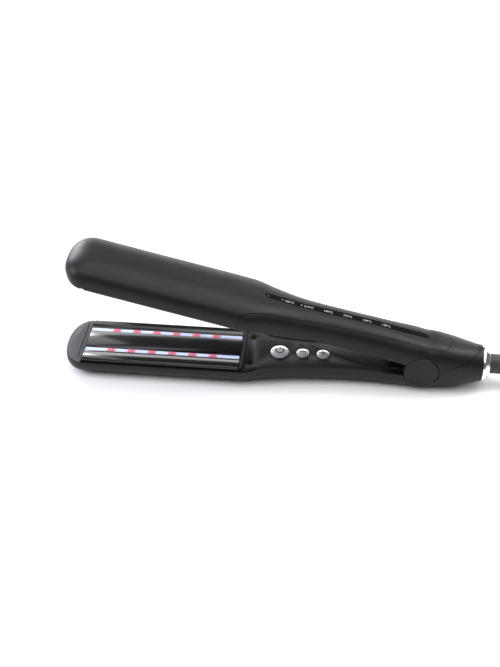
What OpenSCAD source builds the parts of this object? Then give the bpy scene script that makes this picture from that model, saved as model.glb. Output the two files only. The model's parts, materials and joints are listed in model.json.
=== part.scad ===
// Wide-plate hair iron: two hinged arms that carry floating heated plates with glowing
// strips, three push buttons, a temperature display, a swivel boot and a tied mains cord.
// The iron lies on its lower arm with its jaws open. Millimetres, +Z up, tip towards -X.

/* [Body] */
// Length from the tip to the back of the cord ring
body_len = 298.4; // [297.4:0.2:302.4]
// Distance from the cord ring's back face to the hinge axis
hinge_from_back = 47; // [46:1:49]
// Height of the parting plane, half way between the closed plates
parting_z = 17.5; // [17.5:0.5:18.5]
// How far the rounded tip of the upper arm stands proud of its rim
nose_lean = 3.4; // [1:0.2:4]
// How far the arms stand open at rest, in degrees
open_angle = 14.2; // [11:0.2:15]
// Depth of each casing's rim below the parting plane
rim = 3.3; // [3.1:0.1:3.6]
// Thickness of the casing walls
wall = 1.45; // [1.3:0.05:1.5]
// Thickness of the lip with which each tip cover laps over its casing's rim
lip_t = 0.9; // [0.6:0.1:1.2]

/* [Plates] */
// Length of each heated plate
plate_len = 110; // [108:1:112]
// Width of each heated plate
plate_w = 44.5; // [43:0.5:45]
// Distance from the centre line to each glowing strip
strip_y = 11; // [10:0.1:12]
// Width of each glowing strip
strip_w = 3; // [2:0.5:4]
// Number of lamps along each strip
lamp_count = 6; // [3:1:6]
// Distance between neighbouring lamps
lamp_pitch = 14.5; // [12:0.5:15]
// How far a plate can be pushed into its arm
plate_travel = 1; // [0.5:0.1:1]

/* [Controls] */
// Radius of the power button
power_r = 6.3; // [5.5:0.1:6.5]
// Radius of the two temperature buttons
small_r = 4.4; // [4:0.1:5]
// How far a button can be pressed
button_travel = 0.6; // [0.4:0.1:0.7]

/* [Hinge and cord] */
// Radius of the round hinge covers
cover_r = 12; // [11.5:0.1:12]
// Radius of the hinge pin
pin_r = 2; // [1.5:0.1:2.5]
// Radius of the cord ring at its widest
ring_r = 12.8; // [12.4:0.1:13]
// Diameter of the mains cord
cord_d = 6; // [5.8:0.1:6]

/* [Hidden] */

// Places along the iron
tip_x = -body_len / 2;
back_x = body_len / 2;
hinge_x = back_x - hinge_from_back;
ring_len = 5;
ring_x = back_x - ring_len;
nose_len = 15;
lower_lean = 0.5 * nose_lean;
front_x = tip_x + lower_lean;
plate_x0 = front_x + 14;
plate_x1 = plate_x0 + plate_len;
deck_x0 = plate_x1 + 3.6;
deck_x1 = hinge_x - 21;
deck_d = 2.3;
deck_t = 2.4;
deck_under = deck_d + deck_t;
cord_z = parting_z - 1;

// Casing outline: half-widths, depths, heights and squareness, as [x, value] rows
plate_gap = 0.4;
arm_half_w = plate_w / 2 + plate_gap + wall;
half_widths = [[plate_x1 + 1, arm_half_w], [plate_x1 + 15, 20.6], [plate_x1 + 30, 17.6],
    [plate_x1 + 50, 15.8], [plate_x1 + 72, 15.2], [plate_x1 + 95, 15.4], [hinge_x, 16.8],
    [hinge_x + 20, 16.2], [hinge_x + 34, 14.2], [ring_x, ring_r]];
depths = [[plate_x1, 17.8], [plate_x1 + 30, 17.2], [plate_x1 + 75, 17.2], [hinge_x, 17.9],
    [hinge_x + 20, 17], [hinge_x + 34, 14.6], [ring_x, ring_r]];
heights = [[plate_x0 + 30, 19.2], [plate_x1 - 10, 19.6], [plate_x1 + 15, 18.8],
    [plate_x1 + 32, 18.3], [plate_x1 + 65, 19.2], [plate_x1 + 95, 19.8], [hinge_x, 19.7],
    [hinge_x + 20, 16.6], [hinge_x + 34, 14], [ring_x, ring_r]];
squareness = [[plate_x1, 2.9], [plate_x1 + 50, 2.6], [plate_x1 + 95, 2.7], [hinge_x, 3],
    [hinge_x + 20, 2.6], [hinge_x + 34, 2.2], [ring_x, 2]];
spine_drops = [[hinge_x, 0], [ring_x, parting_z - cord_z]];
rims = [[hinge_x - 9, rim], [hinge_x - 2, 0]];
neck_rise = 1.4;
lower_rims = [[plate_x1 + 2, rim], [plate_x1 + 22, rim - neck_rise],
    [deck_x1 - 12, rim - neck_rise], [deck_x1 + 4, rim]];
neck_swells = [[plate_x1 + 4, 0], [plate_x1 + 26, 1.1], [plate_x1 + 48, 1], [plate_x1 + 74, 0]];
rear_tilts = [[hinge_x, open_angle], [ring_x, 0]];

// Rear seam between the upper arm's tail and the lower arm's rear block
seam_x = hinge_x + 15;
seam_z = parting_z + 3;
seam_rise = 0.38;
seam_gap = 0.35;
pocket_r = cover_r + 0.35;

// Plate stack, as depths below the parting plane
face_d = 0.15;
plate_t = 3.2;
slot_d = 1.6;
under_d = face_d + plate_t;
skirt_d = 5;
heater_t = 3;
board_d = 4.6;
clamp_t = 1;
carrier_d = 8.4;
carrier_d1 = 10;
pad_d0 = carrier_d1 + plate_travel + 0.3;
lower_pad_d1 = 15.6;
upper_pad_d1 = 16.8;
carrier_half_w = 20;
lamp_len = 7;
lamp_x0 = (plate_x0 + plate_x1) / 2 - lamp_pitch * (lamp_count - 1) / 2;
lamp_lens_d = 1;
pad_x = [plate_x0 + 15, plate_x1 - 15];
pad_y = 8;
screw_x = plate_x1 + 7.5;
screw_y = 14.4;

// Controls
button_x = [plate_x1 + 27.4, plate_x1 + 43.7, plate_x1 + 57.9];
button_r = [power_r, small_r, small_r];
button_dome = [1.2, 1, 1];
button_board_d = 10;
board_t = 1.2;
switch_h = 1.8;
tongue_x0 = plate_x1 - 8;
tongue_x1 = hinge_x + 15.2;
window_x0 = plate_x1 + 8.3;
window_x1 = hinge_x - 1;
window_w = 5;
led_count = 6;
led_pitch = 13.85;
led_x0 = plate_x1 + 21;

// Cord: the boot's end, the hank's round ends and the plug
boot_x1 = back_x + 40;
boot_end_r = 4.2;
cord_r = cord_d / 2;
hank_x0 = back_x + 116;
hank_x1 = hank_x0 + 92;
hank_r = 3 * cord_d + cord_d + cord_r + 0.1;
hank_h = 3 * cord_d + 0.4;
hank_pinch = 10;
tie_w = 12;
tie_t = 0.8;
plug_x0 = back_x + 277;
plug_y = -10;
plug_z = 7;
lead_in = [[186, 0, 16.5], [192, 0, 16.5], [198, -0.3, 16.2], [205, -1.6, 14.6],
    [213, -4.4, 11.3], [221, -8, 7.5], [229, -12, 4.7], [237, -15.8, 3.4],
    [245, -19, 3.05], [252, -21.4, 3], [259, -23.1, 3], [265, -24, 3]];
lead_out = [[357, -18, 19.6], [364, -18, 21.2], [371, -17.9, 21.9], [378, -17.6, 21.7],
    [386, -16.6, 19.8], [394, -15, 16.6], [402, -13, 13], [410, -11.4, 9.8],
    [418, -10.3, 7.6], [426, -10, 7]];

// Value at x of a smooth curve through the [x, value] rows, with no overshoot
function row_slope(t, i) =
    i == 0 || i == len(t) - 1 ? 0 :
    let (a = (t[i][1] - t[i - 1][1]) / (t[i][0] - t[i - 1][0]),
         b = (t[i + 1][1] - t[i][1]) / (t[i + 1][0] - t[i][0]))
    a * b <= 0 ? 0 : 2 * a * b / (a + b);
function smooth(t, x) =
    x <= t[0][0] ? t[0][1] :
    x >= t[len(t) - 1][0] ? t[len(t) - 1][1] :
    let (i = max([for (k = [0 : len(t) - 2]) if (t[k][0] <= x) k]),
         h = t[i + 1][0] - t[i][0], u = (x - t[i][0]) / h,
         m0 = row_slope(t, i) * h, m1 = row_slope(t, i + 1) * h)
    (2 * u^3 - 3 * u^2 + 1) * t[i][1] + (u^3 - 2 * u^2 + u) * m0
    + (3 * u^2 - 2 * u^3) * t[i + 1][1] + (u^3 - u^2) * m1;

// Rounded growth from 0 to 1 over a nose
function bulge(u, n) = let (v = min(max(u, 0), 1)) pow(1 - pow(1 - v, n), 1 / n);
function nose_u(x, inset, len) = (x - front_x - inset) / len;
// How far a point v from the parting plane leans forward on a casing of height h
function lean(x, v, h, most) = most * sin(180 * min(max(v / h, 0), 1))
    * max(1 - pow(max((x - front_x) / 30, 0), 2), 0);

function half_w(x, inset) =
    (smooth(half_widths, x) - inset) * bulge(nose_u(x, inset, nose_len), 2.2);
function grown(full, x, inset, nose) =
    let (r = smooth(rims, x)) r + (full - inset - r) * bulge(nose_u(x, inset, nose), 2.3);

// Points across a casing half: y across, and distance v from the parting plane
arc_steps = 20;
function half_section(w, v0, v1, n, steps) = [for (i = [0 : steps])
    let (a = 180 * i / steps)
    [w * sign(cos(a)) * pow(abs(cos(a)), 2 / n), v0 + (v1 - v0) * pow(abs(sin(a)), 2 / n)]];

function nose_stations(inset) = [for (u = [0.002, 0.02, 0.07, 0.16, 0.3, 0.5, 0.75])
    front_x + inset + nose_len * u];
body_stations = concat([plate_x0 + 3, plate_x1 - 10],
    [for (x = [plate_x1 : 9 : hinge_x - 14]) x], [hinge_x - 11]);
rear_stations = [for (x = [hinge_x - 8 : 6 : ring_x - 4]) x];
function stations(inset, x1) =
    [for (x = concat(nose_stations(inset), body_stations, rear_stations, [ring_x]))
        if (x < x1 - 0.5) x];

// Lower casing ring: curved back below the parting plane, and above it a low roof that is
// cut away ahead of the hinge, or the full section that the rear block keeps behind it
block_x0 = hinge_x - 10;
depth_full = 17.8;
roof_steps = 12;
function lower_depth(x, inset) = grown(smooth(depths, x), x, inset, 14);
function lower_ring(x) =
    let (w = half_w(x, 0) + smooth(neck_swells, x), n = smooth(squareness, x),
         front = x < block_x0, z0 = parting_z - smooth(spine_drops, x),
         tilt = front ? 0 : smooth(rear_tilts, x),
         roof = half_section(w, 0, front ? rim + 3 : smooth(heights, x), n, roof_steps))
    concat([for (i = [1 : roof_steps - 1])
            [x + roof[i][1] * sin(tilt), roof[i][0], z0 + roof[i][1] * cos(tilt)]],
        [for (p = half_section(w, 0, lower_depth(x, 0), n, arc_steps))
            [x - lean(x, p[1], depth_full, lower_lean), -p[0], z0 - p[1]]]);
function trough_ring(x) =
    let (w = half_w(x, wall), n = smooth(squareness, x), top = x < block_x0 ? 9 : 5,
         z0 = parting_z - smooth(spine_drops, x),
         under = half_section(w, rim, lower_depth(x, wall), n, arc_steps))
    concat([[x, -w, z0 + top]],
        [for (p = under) [x - lean(x, p[1], depth_full, lower_lean), -p[0], z0 - p[1]]],
        [[x, w, z0 + top]]);

// Upper casing ring: rigid ahead of the hinge, fanning down to the cord ring behind it
function upper_ring(x, inset, extra) =
    let (w = half_w(x, inset), n = smooth(squareness, x), r = smooth(rims, x),
         dx = min(x - hinge_x, 0), a = smooth(rear_tilts, x),
         x0 = x > hinge_x ? x : hinge_x + dx * cos(a),
         z0 = parting_z - smooth(spine_drops, x) - dx * sin(a),
         over = half_section(w, r, grown(smooth(heights, x), x, inset, 15), n, arc_steps),
         ends = extra > 0 ? [[[w, r - extra]], [[-w, r - extra]]] : [[], []])
    [for (p = concat(ends[0], over, ends[1]))
        let (u = p[1] * sin(a) - lean(x, p[1], heights[0][1], nose_lean) * cos(a))
        [x0 + u, p[0], z0 + p[1] * cos(a) + lean(x, p[1], heights[0][1], nose_lean) * sin(a)]];

// Closed solid through rings of points that all have the same count
module loft(rings) {
    n = len(rings[0]);
    last = (len(rings) - 1) * n;
    sides = [for (i = [0 : len(rings) - 2], j = [0 : n - 1])
        let (a = i * n + j, b = i * n + (j + 1) % n) each [[a, b + n, b], [a, a + n, b + n]]];
    caps = [[for (j = [0 : n - 1]) j], [for (j = [n - 1 : -1 : 0]) last + j]];
    polyhedron([for (r = rings) each r], concat(sides, caps), convexity = 8);
}

// Round tube along a list of points
function unit(v) = v / norm(v);
function heading(path, i) =
    unit(path[min(i + 1, len(path) - 1)] - path[max(i - 1, 0)]);
module tube(path, r, sides) {
    loft([for (i = [0 : len(path) - 1])
        let (t = heading(path, i), s = unit(cross([0, 0, 1], t)), u = cross(t, s))
        [for (k = [0 : sides - 1]) let (a = 360 * k / sides)
            path[i] + r * (cos(a) * s + sin(a) * u)]]);
}

// Frames: the upper arm's own closed frame, and its mirror image for shared parts
module opened() {
    translate([hinge_x, 0, parting_z]) rotate([0, open_angle, 0])
        translate([-hinge_x, 0, -parting_z]) children();
}
module facing() {
    opened() translate([0, 0, 2 * parting_z]) mirror([0, 0, 1]) children();
}

// Box from x0 to x1, half-width y, between two depths below the parting plane
module slab(x0, x1, y, d0, d1) {
    translate([x0, -y, parting_z - d1]) cube([x1 - x0, 2 * y, d1 - d0]);
}
// Upright cylinder between two depths below the parting plane
module post(x, y, r, d0, d1, fn = 40) {
    translate([x, y, parting_z - d1]) cylinder(r = r, h = d1 - d0, $fn = fn);
}
// Cylinder along Y on the hinge axis
module across(r, y0, y1, fn = 72) {
    translate([hinge_x, y0, parting_z]) rotate([-90, 0, 0])
        cylinder(r = r, h = y1 - y0, $fn = fn);
}
// Height of the rear seam at x
function seam_at(x) = seam_z + seam_rise * (x - seam_x);
// Solid given by its outline seen from the side, wider than the iron
module side_view(outline) {
    rotate([90, 0, 0]) linear_extrude(80, center = true) polygon(outline);
}

// Lower arm
module lower_shell() {
    rim_z = parting_z - rim;
    bend_x = seam_x + (rim_z - seam_z + seam_gap) / seam_rise;
    far_x = ring_x + 20;
    color("#2b2b2c")
    difference() {
        loft([for (x = stations(0, ring_x + 1)) lower_ring(x)]);
        loft([for (x = stations(wall, hinge_x + 18)) trough_ring(x)]);
        side_view(concat([[tip_x - 1, rim_z]],
            [for (x = [plate_x1 : 4 : deck_x1 + 6]) [x, parting_z - smooth(lower_rims, x)]],
            [[bend_x, rim_z], [far_x, seam_at(far_x) - seam_gap], [far_x, 90],
                [tip_x - 1, 90]]));
        across(pocket_r, -30, 30, 96);
        on_cord_axis(hinge_x + 8) cylinder(r = 5, h = 60, $fn = 48);
        on_cord_axis(socket_x0) cylinder(r = 9.7, h = 60, $fn = 64);
        translate([tip_x, -40, -10]) cube([body_len, 80, 10]);
    }
}

// Inner covers: plates that lie flush in the rim of an arm
module cover_plate(x0, x1, inset, d0, thick) {
    xs = concat([for (x = nose_stations(inset)) if (x >= x0 && x < x1) x],
        [for (x = body_stations) if (x > x0 + 0.5 && x < x1 - 0.5) x]);
    edge = concat(x0 > front_x + 3 ? [x0] : [], xs, [x1]);
    translate([0, 0, parting_z - d0 - thick]) linear_extrude(thick) polygon(concat(
        [for (x = edge) [x, half_w(x, inset)]],
        [for (i = [len(edge) - 1 : -1 : 0]) [edge[i], -half_w(edge[i], inset)]]));
}
// Cover that fits in the nose, with a lip that laps over the rim and leans out with it
module tip_cover(casing_h, most) {
    gap = 0.05;
    inset = 0.3;
    edge = [for (x = concat(nose_stations(inset), [plate_x0 - 0.6]))
        [x - lean(x, rim, casing_h, most), half_w(x, inset)]];
    back = [for (i = [len(edge) - 1 : -1 : 0]) [edge[i][0], -edge[i][1]]];
    cover_plate(tip_x, plate_x0 - 0.6, wall + 0.25, rim - 0.4, 1.6);
    translate([0, 0, parting_z - rim + gap]) linear_extrude(lip_t) polygon(concat(edge, back));
}
module screw_hole(y) {
    post(screw_x, y, 2.5, deck_d - 1, deck_d + 1.4);
    post(screw_x, y, 1.1, deck_d - 1, 11);
}
// Deck with a hollow pillar under each screw
module deck_blank() {
    difference() {
        union() {
            cover_plate(deck_x0, deck_x1, wall + 0.2, deck_d, deck_t);
            for (y = [-screw_y, screw_y]) post(screw_x, y, 3, deck_under - 0.5, 12);
        }
        for (y = [-screw_y, screw_y]) screw_hole(y);
    }
}
module lower_tip_cover() { color("#4a4a4d") tip_cover(depth_full, lower_lean); }
module lower_deck() {
    color("#363838") {
        difference() {
            deck_blank();
            for (i = [0 : 2]) post(button_x[i], 0, button_r[i] + 0.3, 0, deck_under + 1, 64);
        }
        slab(deck_x1 - 1.5, deck_x1, 8, -1.2, deck_d + 0.5);
        for (x = [button_x[0] - 7, button_x[2] + 6.5], y = [-8, 8])
            post(x, y, 1.2, deck_under - 0.5, button_board_d, 24);
    }
}
module screws() {
    for (y = [-screw_y, screw_y]) {
        difference() {
            post(screw_x, y, 2.2, deck_d + 0.3, deck_d + 1.4);
            for (a = [0, 90]) translate([screw_x, y, parting_z - deck_d - 0.9]) rotate([0, 0, a])
                translate([-1.4, -0.3, 0]) cube([2.8, 0.6, 2]);
        }
        post(screw_x, y, 1.05, deck_d + 1.4, 10.5, 32);
    }
}
module lower_screws() { color("#1c1c1c") screws(); }
module float_pads(end_d) {
    for (x = pad_x, y = [-pad_y, pad_y]) post(x, y, 3.5, pad_d0, end_d);
}
module lower_float_pads() { color("#8c3b2e") float_pads(lower_pad_d1); }

// Button board, its switches and the mains wires, inside the lower arm
module button_board() {
    color("#1f5a34") slab(button_x[0] - 9, button_x[2] + 9, 9.5, button_board_d,
        button_board_d + board_t);
}
module button_switches() {
    color("#9a9a9a") for (x = button_x) {
        translate([x, 0, 0]) slab(-3, 3, 3, button_board_d - switch_h + 0.8, button_board_d);
        post(x, 0, 1.4, button_board_d - switch_h, button_board_d - switch_h + 0.8, 32);
    }
}
module mains_wires() {
    color("#26211f") for (y = [-2.4, 2.4])
        tube([[plate_x1 + 6, y, parting_z - 13.4], [hinge_x - 34, y, parting_z - 13.4],
            [hinge_x - 16, y, parting_z - 10.4], [hinge_x + 8, y, parting_z - 9.8],
            [hinge_x + 17, y, cord_z - 2], [hinge_x + 25, y, cord_z - 2]], 1, 8);
}

// Hinge
ear_r = 7;
module bracket(y0, y1, depth, base_x0, base_x1) {
    difference() {
        union() {
            for (s = [-1, 1]) {
                across(ear_r, s > 0 ? y0 : -y1, s > 0 ? y1 : -y0, 64);
                translate([hinge_x - 5, s > 0 ? y0 : -y1, parting_z - depth])
                    cube([10, y1 - y0, depth]);
            }
            translate([hinge_x + base_x0, -y1, parting_z - depth - 1.4])
                cube([base_x1 - base_x0, 2 * y1, 1.5]);
        }
        across(pin_r + 0.05, -20, 20, 48);
    }
}
module lower_hinge_bracket() { color("#8f9296") bracket(8.6, 11, 12.4, -9, 9); }
module upper_hinge_bracket() { color("#8f9296") facing() bracket(6, 8.3, 15.4, -14, 4); }
module hinge_pin() { color("#c8cacc") across(pin_r, -11.2, 11.2, 48); }
spring_wire = 0.7;
spring_turns = 6;
module hinge_spring() {
    coil_r = pin_r + 2;
    pitch = 1.55;
    length = spring_turns * pitch;
    steps = 12 * spring_turns;
    color("#a9acb0") {
        translate([hinge_x, -length / 2, parting_z]) rotate([-90, 0, 0])
            loft([for (i = [0 : steps]) let (a = 360 * i / 12, h = pitch * i / 12)
                [for (k = [0 : 5]) let (b = 60 * k, q = coil_r + spring_wire * cos(b))
                    [q * cos(a), q * sin(a), h + spring_wire * sin(b)]]]);
    }
}
module hinge_cover(side) {
    scale([1, side, 1]) difference() {
        union() {
            across(cover_r, 14, 16.6, 96);
            across(cover_r - 0.8, 16.5, 16.9, 96);
            across(5, 11, 14.1, 48);
        }
        across(2.4, 10, 11.6, 48);
    }
}
module hinge_cover_near() { color("#303030") hinge_cover(-1); }
module hinge_cover_far() { color("#303030") hinge_cover(1); }

// Cord end of the lower arm
module on_cord_axis(x) { translate([x, 0, cord_z]) rotate([0, 90, 0]) children(); }
socket_x0 = ring_x - 12;
module swivel_socket() {
    color("#5a5c5e") difference() {
        on_cord_axis(socket_x0) cylinder(r = 9.6, h = ring_x - socket_x0, $fn = 64);
        on_cord_axis(socket_x0 + 2) cylinder(r = 8.4, h = 40, $fn = 64);
        on_cord_axis(socket_x0 - 1) cylinder(r = 5, h = 40, $fn = 48);
    }
}
module cord_ring() {
    color("#d9dadc") on_cord_axis(ring_x) rotate_extrude($fn = 96) polygon([
        [7.2, 0], [ring_r - 0.3, 0], [ring_r, 0.3], [ring_r - 0.1, 1.5], [10.3, ring_len - 0.6],
        [9.9, ring_len], [7.2, ring_len]]);
}
// Rubber boot: flange inside the ring, ribbed neck, and a taper that ends on the cord
module swivel_boot() {
    neck = 6.85;
    sleeve = 11;
    ribs = 7;
    rib_pitch = 3.4;
    color("#2a2a2a") on_cord_axis(ring_x - 8) rotate_extrude($fn = 64) polygon(concat(
        [[2.2, 0], [8, 0], [8, 3], [neck, 3.3], [neck, 8 + ring_len + sleeve - 1.5]],
        [for (i = [0 : ribs - 1], k = [0 : 2])
            let (x = 8 + ring_len + sleeve + rib_pitch * (i + [0, 0.35, 0.6][k]),
                 r = neck - 2.5 * (i + k / 3) / ribs) [r - [0, 0.5, 0.5][k], x]],
        [[boot_end_r + 0.2, boot_x1 - ring_x + 6.5], [boot_end_r, boot_x1 - ring_x + 8],
            [cord_r + 0.35, boot_x1 - ring_x + 8], [cord_r + 0.35, boot_x1 - ring_x],
            [2.2, boot_x1 - ring_x - 4]]));
}

// Floating plate with its strips, lamps, heater and carrier, drawn for the lower arm
plate_hw = plate_w / 2;
nose_r = 1.6;
module lamp_places() {
    for (i = [0 : lamp_count - 1], s = [-1, 1])
        translate([lamp_x0 + i * lamp_pitch, s * strip_y, 0]) children();
}
module plate() {
    corner = [for (a = [0 : 15 : 90]) [nose_r * (1 - cos(a)), nose_r * (1 - sin(a))]];
    right = [for (p = corner) [plate_hw - p[0], -face_d - p[1]]];
    outline = concat([[plate_hw, -skirt_d]], right,
        [for (i = [len(right) - 1 : -1 : 0]) [-right[i][0], right[i][1]]],
        [[-plate_hw, -skirt_d], [-plate_hw + 1.5, -skirt_d], [-plate_hw + 1.5, -under_d],
            [plate_hw - 1.5, -under_d], [plate_hw - 1.5, -skirt_d]]);
    difference() {
        translate([plate_x0, 0, parting_z]) rotate([90, 0, 90])
            linear_extrude(plate_len) polygon(outline);
        for (s = [-1, 1]) translate([0, s * strip_y, 0])
            slab(plate_x0 - 1, plate_x1 + 1, strip_w / 2 + 0.3, 0, face_d + slot_d);
        lamp_places() post(0, 0, 1.3, 0, under_d + 1, 24);
    }
}
module strips() {
    difference() {
        for (s = [-1, 1]) translate([0, s * strip_y, 0])
            slab(plate_x0 + 0.4, plate_x1 - 0.4, strip_w / 2, face_d + 0.05, face_d + slot_d);
        lamp_places() {
            slab(-lamp_len / 2, lamp_len / 2, strip_w, 0, lamp_lens_d);
            post(0, 0, 1.15, 0, 3, 24);
        }
    }
}
module lamps() {
    lamp_places() {
        slab(-lamp_len / 2 + 0.05, lamp_len / 2 - 0.05, strip_w / 2, face_d + 0.05, lamp_lens_d);
        post(0, 0, 1.1, lamp_lens_d - 0.1, board_d, 24);
    }
}
module lamp_boards() {
    for (s = [-1, 1]) translate([0, s * strip_y, 0])
        slab(lamp_x0 - 8, lamp_x0 + lamp_pitch * (lamp_count - 1) + 8, 2, board_d, board_d + 1);
}
module heater() {
    slab(plate_x0 + 14, plate_x1 - 14, 8, under_d, under_d + heater_t);
}
module heater_clamp() {
    slab(plate_x0 + 22, plate_x1 - 22, 8.6, under_d + heater_t, under_d + heater_t + clamp_t);
    for (x = [plate_x0 + 30, plate_x1 - 34])
        slab(x, x + 4, 3, under_d + heater_t + clamp_t, carrier_d);
}
module carrier() {
    difference() {
        slab(plate_x0 + 2, plate_x1 - 2, carrier_half_w, under_d, carrier_d1);
        slab(plate_x0 + 3.6, plate_x1 - 3.6, carrier_half_w - 1.5, under_d - 1, carrier_d);
        for (x = [plate_x0 + 40, plate_x1 - 52])
            slab(x, x + 12, 6, carrier_d - 1, carrier_d1 + 1);
    }
}
module end_bar() {
    bow = 260;
    half = plate_hw - 1.2;
    intersection() {
        slab(plate_x1 + 0.35, plate_x1 + 4, half, 0.9, 6);
        post(plate_x1 + 2.9 - bow, 0, bow, 0, 8, 240);
    }
    slab(plate_x1 + 0.35, deck_x0, half, rim + 0.2, 6);
}
module lower_plate() { color("#1a1a1c") plate(); }
module lower_light_strips() { color("#cfd8f2") strips(); }
module lower_lamps() { color("#d8607c") lamps(); }
module lower_lamp_boards() { color("#1f5a34") lamp_boards(); }
module lower_heater() { color("#b9a26a") heater(); }
module lower_heater_clamp() { color("#9da0a3") heater_clamp(); }
module lower_plate_carrier() { color("#6b5d4a") carrier(); }
module lower_end_bar() { color("#3a3a3c") end_bar(); }

// Buttons: domed caps with a flange under the deck and a stem above the switch
module button(i) {
    r = button_r[i];
    dome = button_dome[i];
    ball = (r * r + dome * dome) / (2 * dome);
    cap_d = deck_d - 0.9;
    flange_d = deck_under + 0.3;
    stem_d = button_board_d - switch_h - 0.3 - button_travel;
    color("#e4e6e8") {
        intersection() {
            translate([button_x[i], 0, parting_z - cap_d + dome - ball])
                sphere(r = ball, $fn = 96);
            post(button_x[i], 0, r, cap_d - dome - 1, cap_d + 1, 64);
        }
        post(button_x[i], 0, r, cap_d + 0.9, flange_d + 0.8, 64);
        post(button_x[i], 0, r + 0.8, flange_d, flange_d + 0.8, 64);
        post(button_x[i], 0, 2, flange_d + 0.7, stem_d, 32);
    }
}
module power_button() { button(0); }
module minus_button() { button(1); }
module plus_button() { button(2); }

// Upper arm
module upper_solid(inset, extra, x0, x1) {
    loft([for (x = stations(inset, x1)) if (x >= x0) upper_ring(x, inset, extra)]);
}
// Plan of the front housing, whose tongue runs back along the handle's crown, grown by g
tongue_rows = [[tongue_x0 + 0.5, 26], [plate_x1 - 5.9, 22], [plate_x1 + 0.3, 19.8],
    [plate_x1 + 7.8, 17.4], [plate_x1 + 20.3, 14.5], [plate_x1 + 57, 10.9],
    [plate_x1 + 96, 10.3], [hinge_x + 5, 10.8], [hinge_x + 8.6, 10.4], [hinge_x + 11.6, 8.7],
    [hinge_x + 13.8, 5.6], [tongue_x1 - 0.3, 2.2]];
function tongue_w(x) = smooth(tongue_rows, x);
module housing_plan(g) {
    xs = concat([for (x = [tongue_x0 + 0.5 : 4 : hinge_x + 8]) x],
        [for (i = [8 : 11]) tongue_rows[i][0]]);
    end = len(xs) - 1;
    polygon(concat([[tip_x - 20, -30], [tongue_x0 + g - 0.5, -30]],
        [for (x = xs) [x + g / 2, -tongue_w(x) - g]], [[tongue_x1 + g, 0]],
        [for (i = [end : -1 : 0]) [xs[i] + g / 2, tongue_w(xs[i]) + g]],
        [[tongue_x0 + g - 0.5, 30], [tip_x - 20, 30]]));
}
// Display window: rows of [x, half-width] with round ends, and height of the crown
window_r = window_w / 2;
window_rows = concat(
    [for (t = [12 : 19.5 : 90]) [window_x0 + window_r * (1 - cos(t)), window_r * sin(t)]],
    [for (x = [window_x0 + 8 : 9 : window_x1 - 5]) [x, window_r]],
    [for (t = [90 : -19.5 : 12]) [window_x1 - window_r * (1 - cos(t)), window_r * sin(t)]]);
function crown(x, y) =
    let (r = smooth(rims, x), n = smooth(squareness, x))
    r + (smooth(heights, x) - r) * pow(1 - pow(abs(y) / smooth(half_widths, x), n), 1 / n);
function window_ring(row) = concat(
    [for (k = [2 : -1 : -2]) let (y = row[1] * k / 2)
        [row[0], y, parting_z + crown(row[0], y) - 0.12]],
    [for (k = [-1, 1]) [row[0], row[1] * k, parting_z + crown(row[0], 0) - 1.3]]);
module window_plan(g) {
    polygon(concat([[window_x0 - g, 0]], [for (p = window_rows) [p[0], -p[1] - g]],
        [[window_x1 + g, 0]],
        [for (i = [len(window_rows) - 1 : -1 : 0]) [window_rows[i][0], window_rows[i][1] + g]]));
}
module housing_prism(g) {
    opened() translate([0, 0, parting_z - 12]) linear_extrude(60) housing_plan(g);
}
module window_prism(g) {
    opened() translate([0, 0, parting_z + 10]) linear_extrude(30) window_plan(g);
}
module upper_housing() {
    color("#303032") difference() {
        intersection() {
            upper_solid(0, 0, tip_x, hinge_x + 22);
            housing_prism(0);
        }
        upper_solid(wall, 8, tip_x, ring_x - 4);
        window_prism(0.05);
    }
}
module upper_handle() {
    cut_x = hinge_x + 2;
    far_x = ring_x + 20;
    color("#303032") difference() {
        upper_solid(0, 0, plate_x1 - 12, ring_x + 1);
        upper_solid(wall, 8, tip_x, ring_x - 4);
        side_view([[cut_x, -20], [far_x, -20], [far_x, seam_at(far_x)], [cut_x, seam_at(cut_x)]]);
        translate([ring_x - 0.6, -30, 0]) cube([10, 60, 60]);
        across(pocket_r, -30, 30, 96);
        housing_prism(0.2);
    }
}
module display_window() {
    color("#0d0d10") opened() loft([for (row = window_rows) window_ring(row)]);
}
// Six indicator lights on a board under the window
led_top = 16.7;
module display_leds() {
    color("#f4f6ff") opened() for (i = [0 : led_count - 1])
        translate([led_x0 + i * led_pitch, 0, parting_z + led_top - 1.6])
            cylinder(r = 0.9, h = 1.6, $fn = 24);
}
module display_board() {
    color("#1f5a34") opened()
        translate([led_x0 - 6, -6, parting_z + led_top - 2.8])
            cube([led_pitch * (led_count - 1) + 12, 12, board_t]);
}
module upper_tip_cover() {
    color("#4a4a4d") facing() tip_cover(heights[0][1], nose_lean);
}
module upper_deck() { color("#363838") facing() deck_blank(); }
module upper_screws() { color("#1c1c1c") facing() screws(); }
module upper_float_pads() { color("#8c3b2e") facing() float_pads(upper_pad_d1); }
module upper_plate() { color("#1a1a1c") facing() plate(); }
module upper_light_strips() { color("#cfd8f2") facing() strips(); }
module upper_lamps() { color("#d8607c") facing() lamps(); }
module upper_lamp_boards() { color("#1f5a34") facing() lamp_boards(); }
module upper_heater() { color("#b9a26a") facing() heater(); }
module upper_heater_clamp() { color("#9da0a3") facing() heater_clamp(); }
module upper_plate_carrier() { color("#6b5d4a") facing() carrier(); }
module upper_end_bar() { color("#3a3a3c") facing() end_bar(); }

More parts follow.
